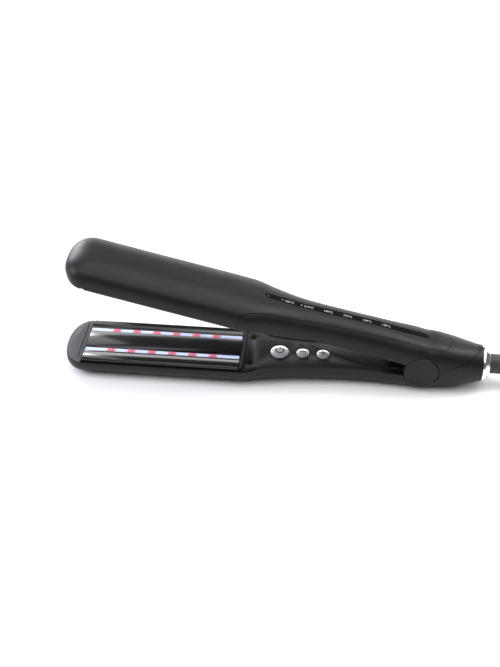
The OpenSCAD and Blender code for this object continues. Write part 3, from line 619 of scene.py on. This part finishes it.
def add_plug():
    """Flat two-pin plug with a ribbed neck, rounded shoulders and finger grips."""
    (x0, _, z0), (x1, y1, z1) = box_mm("plug_body")
    y0, high = -10.0, (z1 - z0) / 2
    wide, zc = y1 - y0, z0 + high
    ribs, rib_pitch, neck_r, widening, rib_h = 5, 2.2, 4.3, 0.22, 0.5
    rows = [(0, 4.0, 4.0), (1.0, neck_r, neck_r)]
    for k in range(ribs):
        x, r = 2.0 + rib_pitch * k, neck_r + widening * k
        rows += [(x, r, r), (x + 0.3, r + rib_h, r + rib_h), (x + 1.1, r + rib_h, r + rib_h),
                 (x + 1.4, r, r)]
    rows += [(13.4, 5.4, 5.4), (14.2, 7.4, 5.8), (15.6, 10.4, 6.3), (17.5, 12.6, 6.6),
             (20, wide - 0.5, high - 0.1), (23, wide - 0.2, high), (25.5, wide - 1.0, high - 0.5),
             (28, wide - 0.2, high), (33, wide, high), (34.5, wide - 0.3, high - 0.3),
             (x1 - x0, wide - 1.2, high - 1.2)]
    rings = []
    for x, a, b in rows:
        n = 2 + 1.2 * ease((x - 13) / 6)
        rings.append([(x0 + x, y0 + a * squarish(c, n), zc + b * squarish(s, n))
                      for c, s in circle(1, 64)])
    return new_object("plug_shell", loft("plug_shell", rings, 50), "lower_arm",
                      "rubber_black", RUBBER, "plug_body")


cord = add_cord()
band = add_tie()
plug = add_plug()


# ---------------- casings
ARC = 56  # steps over a casing half
SHELL_MERGE = 2e-5  # points of a cut casing closer than this, in metres, become one
NOSE_U = [0.0006, 0.003, 0.008, 0.016, 0.028, 0.045, 0.067, 0.095, 0.13, 0.17, 0.22, 0.28,
          0.35, 0.43, 0.52, 0.63, 0.76, 0.9]


def stations(inset, x0, x1):
    """Places along a casing for its rings, closest together on the nose."""
    xs = [FRONT_X + inset + NOSE_LEN * u for u in NOSE_U]
    x = xs[-1] + 4
    while x < PLATE_X1 - 5:
        xs.append(x)
        x += 5
    while x < RING_X - 1:
        xs.append(x)
        x += 3
    return [x for x in xs + [RING_X] if x0 <= x < x1 - 0.3]


def lower_depth(x, inset):
    return grown(smooth(DEPTHS, x), x, inset, 14)


def lower_ring(x):
    """Outside of the lower arm: a low roof ahead of the block, full height behind."""
    w, n = half_w(x) + smooth(NECK_SWELLS, x), smooth(SQUARENESS, x)
    front = x < BLOCK_X0
    z0 = PARTING - smooth(SPINE_DROPS, x)
    tilt = 0 if front else smooth(REAR_TILTS, x)
    roof = half_section(w, 0, RIM + 3 if front else smooth(HEIGHTS, x), n, 32)
    under = half_section(w, 0, lower_depth(x, 0), n, ARC)
    return ([(x + v * math.sin(tilt), y, z0 + v * math.cos(tilt)) for y, v in roof[1:-1]]
            + [(x - lean(x, v, *LOWER_NOSE), -y, z0 - v) for y, v in under])


def trough_ring(x):
    """Inside of the lower arm, open above the parting plane."""
    w, n = half_w(x, WALL), smooth(SQUARENESS, x)
    z0 = PARTING - smooth(SPINE_DROPS, x)
    top = 9 if x < BLOCK_X0 else 5
    under = half_section(w, RIM, lower_depth(x, WALL), n, ARC)
    return ([(x, -w, z0 + top)]
            + [(x - lean(x, v, *LOWER_NOSE), -y, z0 - v) for y, v in under]
            + [(x, w, z0 + top)])


def upper_ring(x, inset, extra):
    """The upper arm, opened; extra carries its sides on down below the rim."""
    w, n, r = half_w(x, inset), smooth(SQUARENESS, x), smooth(RIMS, x)
    a, dx = smooth(REAR_TILTS, x), min(x - HINGE_X, 0)
    x0 = x if x > HINGE_X else HINGE_X + dx * math.cos(a)
    z0 = PARTING - smooth(SPINE_DROPS, x) - dx * math.sin(a)
    over = half_section(w, r, grown(smooth(HEIGHTS, x), x, inset, 15), n, ARC)
    if extra:
        over = [(w, r - extra)] + over + [(-w, r - extra)]
    out = []
    for y, v in over:
        ahead = lean(x, v, *UPPER_NOSE)
        out.append((x0 + v * math.sin(a) - ahead * math.cos(a), y,
                    z0 + v * math.cos(a) + ahead * math.sin(a)))
    return out


def side_view(outline):
    """Outline (x, z) drawn out past both sides."""
    return prism("side", outline, -40, 40, lambda x, z, y: (x, y, z))


def pocket():
    """Round pocket right through the arms, for the hinge and its covers."""
    return prism("pocket", circle(POCKET_R, 96), -ASIDE, ASIDE,
                 lambda a, b, y: (HINGE_X + a, y, PARTING + b))


def bore(r, x0, x1):
    """Round hole along the cord's axis."""
    return prism("bore", circle(r, 64), x0, x1, lambda a, b, x: (x, a, CORD_Z + b))


def seam_at(x):
    """Height of the slanted seam behind the hinge, where the two arms meet."""
    return SEAM_Z + SEAM_RISE * (x - SEAM_X)


def block_mesh(x0, x1, y0, y1, z0, z1):
    return prism("block", [(x0, y0), (x1, y0), (x1, y1), (x0, y1)], z0, z1)


def add_lower_shell():
    rim_z, sky, front_x, far_x = PARTING - RIM, 90, TIP_X - 3, RING_X + 20
    bend_x = SEAM_X + (rim_z - SEAM_Z + SEAM_GAP) / SEAM_RISE
    outer = loft("lower_casing", [lower_ring(x) for x in stations(0, AT_TIP, RING_X + 1)])
    inner = loft("trough", [trough_ring(x) for x in stations(WALL, AT_TIP, HINGE_X + 18)])
    neck = [(PLATE_X1 + 2 * i, PARTING - smooth(LOWER_RIMS, PLATE_X1 + 2 * i))
            for i in range(int((HINGE_X - 15 - PLATE_X1) / 2))]
    roof = side_view([(front_x, rim_z), *neck, (bend_x, rim_z),
                      (far_x, seam_at(far_x) - SEAM_GAP), (far_x, sky), (front_x, sky)])
    below_table = block_mesh(TIP_X - 5, BACK_X + 5, -40, 40, -10, 0)
    cutters = [inner, roof, pocket(), bore(5, HINGE_X + 8, HINGE_X + 68),
               bore(9.7, RING_X - 12, RING_X + 30), below_table]
    mesh = carve(outer, [(cutter, "DIFFERENCE") for cutter in cutters], SHELL_MERGE)
    new_object("lower_casing", mesh, "lower_arm", "soft_black", SOFT_BLACK, "lower_shell")


def upper_solid(inset, extra, x0, x1):
    return loft("upper", [upper_ring(x, inset, extra) for x in stations(inset, x0, x1)])


def housing_prism(grow):
    """The front housing's outline in plan, with the tongue that runs over the handle."""
    xs = []
    x = TONGUE_X0 + 0.5
    while x < HINGE_X + 8:
        xs.append(x)
        x += 2.5
    xs += [row[0] + d for row in TONGUE[8:11] for d in (0, 1.3)] + [TONGUE[11][0]]
    right = [(x + grow / 2, -smooth(TONGUE, x) - grow) for x in xs]
    root_x, front_x = TONGUE_X0 + grow - 0.5, TIP_X - 20
    outline = ([(front_x, -ASIDE), (root_x, -ASIDE)] + right + [(TONGUE_X1 + grow, 0)]
               + [(x, -y) for x, y in reversed(right)] + [(root_x, ASIDE), (front_x, ASIDE)])
    return turned(prism("plan", outline, PARTING - 12, PARTING + 48), OPENED)


def crown(x, y):
    """Height of the closed upper arm's top above the parting plane."""
    r, n = smooth(RIMS, x), smooth(SQUARENESS, x)
    side = 1 - (abs(y) / smooth(HALF_WIDTHS, x)) ** n
    return r + (smooth(HEIGHTS, x) - r) * side ** (1 / n)


def window_rows(grow=0.0):
    """Rows (x, half width) of the display window, which has round ends."""
    r = WINDOW_R + grow
    ends = [math.radians(4 + 86 * i / 10) for i in range(11)]
    rows = [(WINDOW_X0 + WINDOW_R - r * math.cos(t), r * math.sin(t)) for t in ends]
    x = WINDOW_X0 + 6
    while x < WINDOW_X1 - 4:
        rows.append((x, r))
        x += 3
    return rows + [(WINDOW_X1 - WINDOW_R + r * math.cos(t), r * math.sin(t))
                   for t in reversed(ends)]


def window_prism(grow):
    rows = window_rows(grow)
    outline = [(x, -y) for x, y in rows] + [(x, y) for x, y in reversed(rows)]
    return turned(prism("window", outline, PARTING + 10, PARTING + 40), OPENED)


def upper_hollow():
    return upper_solid(WALL, 8, AT_TIP, RING_X - 4)


def add_front_housing():
    mesh = carve(upper_solid(0, 0, AT_TIP, HINGE_X + 22),
                 [(housing_prism(0), "INTERSECT"), (upper_hollow(), "DIFFERENCE"),
                  (window_prism(0.1), "DIFFERENCE")], SHELL_MERGE)
    new_object("front_housing", mesh, "upper_arm", "soft_black", SOFT_BLACK, "upper_housing")


def add_rear_handle():
    cut_x, far_x, deep = HINGE_X + 2, RING_X + 20, -20
    under = side_view([(cut_x, deep), (far_x, deep), (far_x, seam_at(far_x)),
                       (cut_x, seam_at(cut_x))])
    end = block_mesh(RING_X - 0.6, RING_X + 10, -ASIDE, ASIDE, 0, 60)
    cutters = [upper_hollow(), under, end, pocket(), housing_prism(0.32)]
    mesh = carve(upper_solid(0, 0, PLATE_X1 - 12, RING_X + 1),
                 [(cutter, "DIFFERENCE") for cutter in cutters], SHELL_MERGE)
    new_object("rear_handle", mesh, "upper_arm", "soft_black", SOFT_BLACK, "upper_handle")


add_lower_shell()
add_front_housing()
add_rear_handle()


# ---------------- display
def add_display():
    rings = []
    for x, half in window_rows():
        top = [(x, half * k / 6, PARTING + crown(x, half * k / 6) - LENS_DROP)
               for k in range(6, -7, -1)]
        floor = PARTING + crown(x, 0) - LENS_T
        rings.append(top + [(x, -half, floor), (x, half, floor)])
    new_object("display_lens", turned(loft("display_lens", rings), OPENED), "upper_arm",
               "display_gloss", DISPLAY, "display_window")


def draped(mesh, x0, y0):
    """Flat mark laid on the display lens, with its own origin at x0, y0."""
    for v in mesh.vertices:
        x, y = x0 + v.co.x / MM, y0 + v.co.y / MM
        z = PARTING + crown(x, y) - LENS_DROP + 0.03 + v.co.z / MM
        v.co = Vector((x, y, z)) * MM
    mesh.transform(OPENED)
    return mesh


def lettering(text, size):
    curve = bpy.data.curves.new("legend", "FONT")
    curve.body, curve.size, curve.extrude = text, size * MM, 0.02 * MM
    curve.resolution_u = 3
    obj = bpy.data.objects.new("legend", curve)
    scene.collection.objects.link(obj)
    graph = bpy.context.evaluated_depsgraph_get()
    mesh = bpy.data.meshes.new_from_object(obj.evaluated_get(graph))
    bpy.data.objects.remove(obj)
    tidy(mesh, 30, 1e-7)
    return mesh


def add_legends():
    """Temperature steps, the first two with a dot before them, and a round pilot light."""
    pitch, size, dot_r, dot_gap, pilot_r = 13.65, 2.5, 0.4, 1.9, 0.55
    meshes = []
    for k, degrees in enumerate((230, 210, 190, 170, 150, 130)):
        x = PLATE_X1 + 22.4 + pitch * k
        meshes.append(draped(lettering(f"{degrees}°C", size), x, -0.9))
        if k < 2:
            dot = prism("dot", circle(dot_r, 20), -0.02, 0.02)
            meshes.append(draped(dot, x - dot_gap, 0))
    new_object("display_legends", joined("display_legends", meshes), "upper_arm",
               "led_white", INK)
    pilot = draped(prism("pilot", circle(pilot_r, 24), -0.03, 0.03), WINDOW_X0 + 2.2, 0)
    new_object("display_pilot_light", pilot, "upper_arm", "led_white", SOCKET)


add_display()
add_legends()


# ---------------- jaws
def plate_profile():
    """Half of the plate's section, from the middle out: face, slot, crease and round nose."""
    face, under, skirt = PARTING - 0.15, PARTING - 3.35, PARTING - 5.0
    near, far, slot_d, nose, edge_t = STRIP_Y - 1.8, STRIP_Y + 1.8, 1.6, 1.6, 1.5
    half = [(near, face), (near, face - slot_d), (far, face - slot_d), (far, face),
            (far + 1.1, face), (far + 1.25, face - 0.12), (far + 1.45, face - 0.12),
            (far + 1.6, face - 0.02)]
    for i in range(11):
        a = math.pi / 2 * (1 - i / 10)
        half.append((PLATE_HALF_W - nose + nose * math.cos(a), face - nose + nose * math.sin(a)))
    return half + [(PLATE_HALF_W, skirt), (PLATE_HALF_W - edge_t, skirt),
                   (PLATE_HALF_W - edge_t, under)]


def lengthways(name, outline, x0, x1):
    """Section (y, z) drawn out along the arm."""
    return prism(name, outline, x0, x1, lambda y, z, x: (x, y, z))


def make_plate():
    half = plate_profile()
    outline = half + [(-y, z) for y, z in reversed(half)]
    return bevelled(lengthways("plate", outline, PLATE_X0, PLATE_X1), 0.18, 2, 40)


def make_strips():
    face = PARTING - 0.2
    return joined("strips", [
        lengthways("strip", rounded(y - STRIP_HALF_W, y + STRIP_HALF_W, face - 1.5, face, 0.3, 4,
                                    0.05), PLATE_X0 + 0.4, PLATE_X1 - 0.4)
        for y in (-STRIP_Y, STRIP_Y)])


def make_lamps():
    """Small pill-shaped lenses that stand a hair above the milky strips."""
    half_len, half_wide, corner = 3.5, 1.52, 0.7
    x_first = (PLATE_X0 + PLATE_X1) / 2 - LAMP_PITCH * (LAMPS_A_STRIP - 1) / 2
    meshes = []
    for y in (-STRIP_Y, STRIP_Y):
        for i in range(LAMPS_A_STRIP):
            x, rings = x_first + LAMP_PITCH * i, []
            for inset, z in ((0, PARTING - 1.2), (0, PARTING - 0.24), (0.12, PARTING - 0.17),
                             (0.35, PARTING - 0.14)):
                along, aside = half_len - inset, half_wide - inset
                outline = rounded(x - along, x + along, y - aside, y + aside,
                                  corner - inset / 2, 4)
                rings.append([(*point, z) for point in outline])
            meshes.append(loft("lamp", rings))
    return joined("lamps", meshes)


def cover_outline(x0, x1, inset):
    """Plan of an inner cover that follows the casing at inset from its outside."""
    xs = [x for x in [FRONT_X + inset + NOSE_LEN * u for u in NOSE_U] if x0 <= x < x1 - 0.2]
    if x0 > FRONT_X + 3:
        xs = [x0]
    x = xs[-1] + 2.5
    while x < x1 - 1.2:
        xs.append(x)
        x += 2.5
    xs.append(x1)
    return [(x, half_w(x, inset)) for x in xs] + [(x, -half_w(x, inset)) for x in reversed(xs)]


def tip_cover_mesh(nose):
    """Moulded cover whose lip laps over the rim, with a groove ahead of the plate."""
    x1 = PLATE_X0 - 0.6
    under = PARTING - RIM + 0.05
    top = under + LIP_T
    xs = [FRONT_X + LIP_INSET + NOSE_LEN * u for u in NOSE_U] + [x1]
    edge = [(x - lean(x, RIM, *nose), half_w(x, LIP_INSET)) for x in xs if x <= x1]
    lip = prism("tip_cover", edge + [(x, -y) for x, y in reversed(edge)], under, top)
    body = prism("body", cover_outline(AT_TIP, x1, WALL + 0.25), PARTING - RIM - 1.2, top - 0.3)
    front, back, half, groove_d = x1 - 3.4, x1 - 2.6, 20.4, 0.7
    groove = prism("groove", [(front, 0.4 - half), (back, -half), (back, half),
                              (front, half - 0.4)], top - groove_d, PARTING)
    return bevelled(carve(lip, [(body, "UNION"), (groove, "DIFFERENCE")]), 0.25, 3, 40)


def add_tip_covers():
    lower = tip_cover_mesh(LOWER_NOSE)
    upper = turned(tip_cover_mesh(UPPER_NOSE), FACING)
    new_object("tip_cover_lower", lower, "lower_arm", "tip_grey", TIP_GREY, "lower_tip_cover")
    new_object("tip_cover_upper", upper, "upper_arm", "tip_grey", TIP_GREY, "upper_tip_cover")


def post(x, y, r, z0, z1, steps=64):
    return prism("post", circle(r, steps, x, y), z0, z1)


DECK_X0, DECK_X1 = PLATE_X1 + 3.6, HINGE_X - 21
SCREW_X, SCREW_Y = PLATE_X1 + 7.5, 14.4
# Each button's place behind the plate, radius and dome height
BUTTONS = [("power_button", 27.4, 6.3, 1.2), ("minus_button", 43.7, 4.4, 1.0),
           ("plus_button", 57.9, 4.4, 1.0)]


def deck_mesh(buttons):
    """Inner cover on two screw pillars, with a hole for each button."""
    top = PARTING - DECK_D
    cuts = []
    for y in (-SCREW_Y, SCREW_Y):
        cuts += [(post(SCREW_X, y, 3, top - 9.7, top - DECK_T + 0.5), "UNION"),
                 (post(SCREW_X, y, 2.5, top - 1.4, top + 2), "DIFFERENCE"),
                 (post(SCREW_X, y, 1.1, top - 8.7, top + 2, 32), "DIFFERENCE")]
    for _, at, r, _ in buttons:
        cuts.append((post(PLATE_X1 + at, 0, r + 0.3, top - 5, top + 2), "DIFFERENCE"))
    mesh = prism("deck", cover_outline(DECK_X0, DECK_X1, WALL + 0.1), top - DECK_T, top)
    return bevelled(carve(mesh, cuts), 0.22, 2, 50)


def add_decks():
    lower = deck_mesh(BUTTONS)
    tab = bevelled(block_mesh(DECK_X1 - 1.5, DECK_X1, -8, 8, PARTING - DECK_D - 0.5,
                              PARTING + 1.2), 0.3, 3)
    new_object("control_deck", joined("control_deck", [lower, tab]), "lower_arm",
               "deck_black", DECK_BLACK, "lower_deck")
    new_object("plain_deck", turned(deck_mesh([]), FACING), "upper_arm", "deck_black",
               DECK_BLACK, "upper_deck")


on_both_floats("plate", make_plate(), "plate_gloss", PLATE_GLOSS)
on_both_floats("light_strips", make_strips(), "strip_white", STRIP)
on_both_floats("lamps", make_lamps(), "lamp_red", LAMP_LOWER, LAMP_UPPER)
add_tip_covers()
add_decks()


# ---------------- buttons
def icon_power(r):
    """Open ring with a bar, as outlines for engraving."""
    turns = [math.radians(a) for a in range(125, 416, 10)]
    ring = ([(0.5 * r * math.cos(a), 0.5 * r * math.sin(a)) for a in turns]
            + [(0.36 * r * math.cos(a), 0.36 * r * math.sin(a)) for a in reversed(turns)])
    bar = [(-0.07 * r, 0.1 * r), (0.07 * r, 0.1 * r), (0.07 * r, 0.62 * r), (-0.07 * r, 0.62 * r)]
    return [ring, bar]


def icon_minus(r):
    a, b = 0.5 * r, 0.09 * r
    return [[(-a, -b), (a, -b), (a, b), (-a, b)]]


def icon_plus(r):
    a, b = 0.5 * r, 0.09 * r
    return [[(-a, -b), (-b, -b), (-b, -a), (b, -a), (b, -b), (a, -b), (a, b), (b, b),
             (b, a), (-b, a), (-b, b), (-a, b)]]


def add_button(name, at, r, dome, icons):
    """Domed chrome cap over a flange and stem, with an engraved, enamelled icon."""
    cx = PLATE_X1 + at
    low, high = box_mm(name)
    foot, top = low[2], high[2]
    stem_r, flange_r, flange_z0, flange_z1 = 2, r + 0.8, top - 5.6, top - 4.8
    edge_z, edge_r, axis_r, engraved = top - dome - 0.25, 0.2, 0.0001, top - 0.9
    ball = (r * r + dome * dome) / (2 * dome)

    def surface(q):
        return top - ball + math.sqrt(ball * ball - q * q)

    profile = [(axis_r, foot), (stem_r, foot), (stem_r, flange_z0), (flange_r, flange_z0),
               (flange_r, flange_z1), (r, flange_z1), (r, edge_z)]
    for i in range(1, 4):
        a = math.radians(30 * i)
        profile.append((r - edge_r + edge_r * math.cos(a), edge_z + edge_r * math.sin(a)))
    for i in range(14):
        q = (r - 0.25) * (1 - i / 13)
        profile.append((max(q, axis_r), surface(q)))
    cap = lathe(name, profile, lambda q, t, z: (cx + q * math.cos(t), q * math.sin(t), z))
    placed = [[(cx + x, y) for x, y in icon] for icon in icons]
    cuts = [(prism("icon", icon, engraved, top + 1), "DIFFERENCE") for icon in placed]
    new_object(name + "_cap", carve(cap, cuts), name, "chrome", SATIN_CHROME, name)
    fills = [loft("fill", [[(x, y, engraved) for x, y in icon],
                           [(x, y, surface(math.hypot(x - cx, y)) - 0.12) for x, y in icon]])
             for icon in placed]
    new_object(name + "_icon", joined("fill", fills), name, "screw_black", ENAMEL)


ICONS = {"power_button": icon_power, "minus_button": icon_minus, "plus_button": icon_plus}
for button, at, radius, dome in BUTTONS:
    add_button(button, at, radius, dome, ICONS[button](radius))


# ---------------- hinge covers and cord end
def add_hinge_covers():
    """Round cap with a rolled rim and a very slightly dished face."""
    inner_y, rim_y, roll, axis_r = 14.0, 15.9, 0.8, 0.0001
    profile = [(axis_r, inner_y), (COVER_R, inner_y), (COVER_R, rim_y)]
    for i in range(1, 7):
        a = math.radians(15 * i)
        profile.append((COVER_R - roll + roll * math.cos(a), rim_y + roll * math.sin(a)))
    profile += [(COVER_R - 1.3, 16.66), (COVER_R - 1.6, 16.5), (COVER_R - 2.0, 16.5),
                (COVER_R - 2.4, 16.62), (6, 16.72), (axis_r, 16.76)]
    for side, name in ((-1, "near"), (1, "far")):
        mesh = lathe("hinge_cap", profile,
                     lambda r, t, y: (HINGE_X + r * math.cos(t), side * y,
                                      PARTING + r * math.sin(t)), 128)
        new_object(f"hinge_cap_{name}", mesh, "lower_arm", "deck_black", SOFT_BLACK,
                   f"hinge_cover_{name}")


def on_axis(r, t, x):
    return (x, r * math.cos(t), CORD_Z + r * math.sin(t))


def add_cord_end():
    """Chrome ring, and a boot with a smooth sleeve and tapering ribs."""
    ring = [(7.2, 0), (RING_R - 0.3, 0), (RING_R - 0.08, 0.08), (RING_R, 0.3), (RING_R, 1.2),
            (RING_R - 0.12, 1.6), (11.6, 3.0), (10.5, RING_LEN - 0.7), (10.2, RING_LEN - 0.25),
            (9.8, RING_LEN), (7.6, RING_LEN), (7.2, RING_LEN - 0.3)]
    mesh = lathe("ring", [(r, RING_X + h) for r, h in ring], on_axis, 128, 40)
    new_object("cord_ring_chrome", mesh, "lower_arm", "chrome", CHROME, "cord_ring")
    neck, taper, sleeve, ribs, pitch = 6.85, 2.5, 11, 7, 3.4
    flange_r, throat_r, bore_r, x0 = 8, 2.2, CORD_R + 0.2, RING_X - 8
    boot = [(throat_r, x0), (flange_r, x0), (flange_r, x0 + 3), (neck, x0 + 3.3),
            (neck, BACK_X + sleeve - 1.5)]
    for i in range(ribs):
        r, x = neck - taper * i / ribs, BACK_X + sleeve + pitch * i
        boot += [(r - 0.55, x - 0.55), (r - 0.15, x - 0.25), (r, x), (r, x + 1.15),
                 (r - 0.18, x + 1.5), (r - 0.65, x + 1.8)]
    boot += [(4.35, BOOT_X1 - 1.5), (4.2, BOOT_X1 - 0.3), (3.9, BOOT_X1), (bore_r, BOOT_X1),
             (bore_r, BOOT_X1 - 8), (throat_r, BOOT_X1 - 12)]
    new_object("boot_rubber", lathe("boot", boot, on_axis, 72, 40), "cord_swivel",
               "rubber_black", RUBBER, "swivel_boot")


add_hinge_covers()
add_cord_end()


# ---------------- finishes for CAD parts
KEPT = {"lower_screws": SCREW_BLACK, "upper_screws": SCREW_BLACK,
        "lower_float_pads": SILICONE, "upper_float_pads": SILICONE,
        "button_board": BOARD, "button_switches": SOCKET, "mains_wires": RUBBER,
        "lower_hinge_bracket": STEEL, "upper_hinge_bracket": STEEL, "hinge_pin": STEEL,
        "hinge_spring": STEEL, "swivel_socket": SOCKET, "display_leds": LED,
        "display_board": BOARD, "lower_end_bar": BAR_BLACK, "upper_end_bar": BAR_BLACK,
        "lower_lamp_boards": BOARD, "upper_lamp_boards": BOARD,
        "lower_heater": CERAMIC, "upper_heater": CERAMIC,
        "lower_heater_clamp": STEEL, "upper_heater_clamp": STEEL,
        "lower_plate_carrier": CARRIER, "upper_plate_carrier": CARRIER,
        "plug_pins": PIN_METAL}
for node, material in KEPT.items():
    slots = frame["nodes"][node].data.materials
    if not slots:
        slots.append(material)
    for i in range(len(slots)):
        slots[i] = material


# ---------------- table and light
def add_table():
    s = Shader("pale_table")
    s.colour(s.spread(s.noise(3, 2), 0, 1), (0.86, 0.86, 0.865), (0.89, 0.89, 0.89))
    s.roughness(s.noise(40, 3), 0.75, 0.85)
    radius, sides, gap = 1.45, 120, 0.0002
    mesh = bpy.data.meshes.new("table")
    mesh.from_pydata([(x, y, 0) for x, y in circle(radius, sides)], [], [tuple(range(sides))])
    mesh.materials.append(s.mat)
    table = bpy.data.objects.new("table", mesh)
    table.location.z = -gap
    scene.collection.objects.link(table)


def add_world():
    """Dim, cool light from all round, before a pale room that only the camera sees."""
    world = bpy.data.worlds.new("studio")
    world.use_nodes = True
    nodes, links = world.node_tree.nodes, world.node_tree.links
    glow, room = nodes["Background"], nodes.new("ShaderNodeBackground")
    glow.inputs["Color"].default_value = (0.9, 0.92, 1, 1)
    glow.inputs["Strength"].default_value = 0.16
    room.inputs["Color"].default_value = (0.92, 0.92, 0.93, 1)
    mix, path = nodes.new("ShaderNodeMixShader"), nodes.new("ShaderNodeLightPath")
    links.new(path.outputs["Is Camera Ray"], mix.inputs[0])
    links.new(glow.outputs[0], mix.inputs[1])
    links.new(room.outputs[0], mix.inputs[2])
    links.new(mix.outputs[0], nodes["World Output"].inputs["Surface"])
    scene.world = world


def add_light(name, place, aim, wide, high, power, tint=(1, 1, 1)):
    """Rectangular soft box, which the camera doesn't see."""
    data = bpy.data.lights.new(name, "AREA")
    data.shape, data.size, data.size_y = "RECTANGLE", wide, high
    data.energy, data.color = power, tint
    light = bpy.data.objects.new(name, data)
    light.location = place
    light.rotation_euler = (Vector(aim) - Vector(place)).to_track_quat("-Z", "Y").to_euler()
    light.visible_camera = False
    scene.collection.objects.link(light)


add_table()
add_world()
add_light("overhead", (0.1, -0.1, 1.5), (0, 0, 0), 2.2, 1.6, 27, (1, 0.985, 0.97))
add_light("front_high", (0.1, -1.15, 1.5), (0, -0.1, 0), 1.8, 0.7, 4)
add_light("ceiling_back", (0, 1.08, 1.88), (0, 0, 0.02), 2.4, 0.5, 6)
add_light("backdrop", (-0.2, 1.5, 0.32), (0, 0, 0.02), 3, 0.55, 15)
add_light("rim_left", (-1.1, 1.35, 0.52), (-0.12, 0, 0.06), 0.6, 0.4, 12, (0.9, 0.94, 1))
add_light("rim_right", (1.2, 1.35, 0.36), (0.14, 0, 0.03), 0.6, 0.4, 7, (1, 0.94, 0.88))
add_light("left_box", (-0.85, -0.15, 0.52), (-0.1, 0, 0.05), 0.45, 0.5, 6, (0.86, 0.9, 1))
add_light("right_box", (0.80, 0.30, 0.96), (0.1, 0, 0.04), 0.4, 0.4, 6.5, (1, 0.94, 0.88))
add_light("back_left_box", (-0.71, 0.9, 0.78), (-0.12, 0, 0.02), 0.32, 0.40, 0.8)
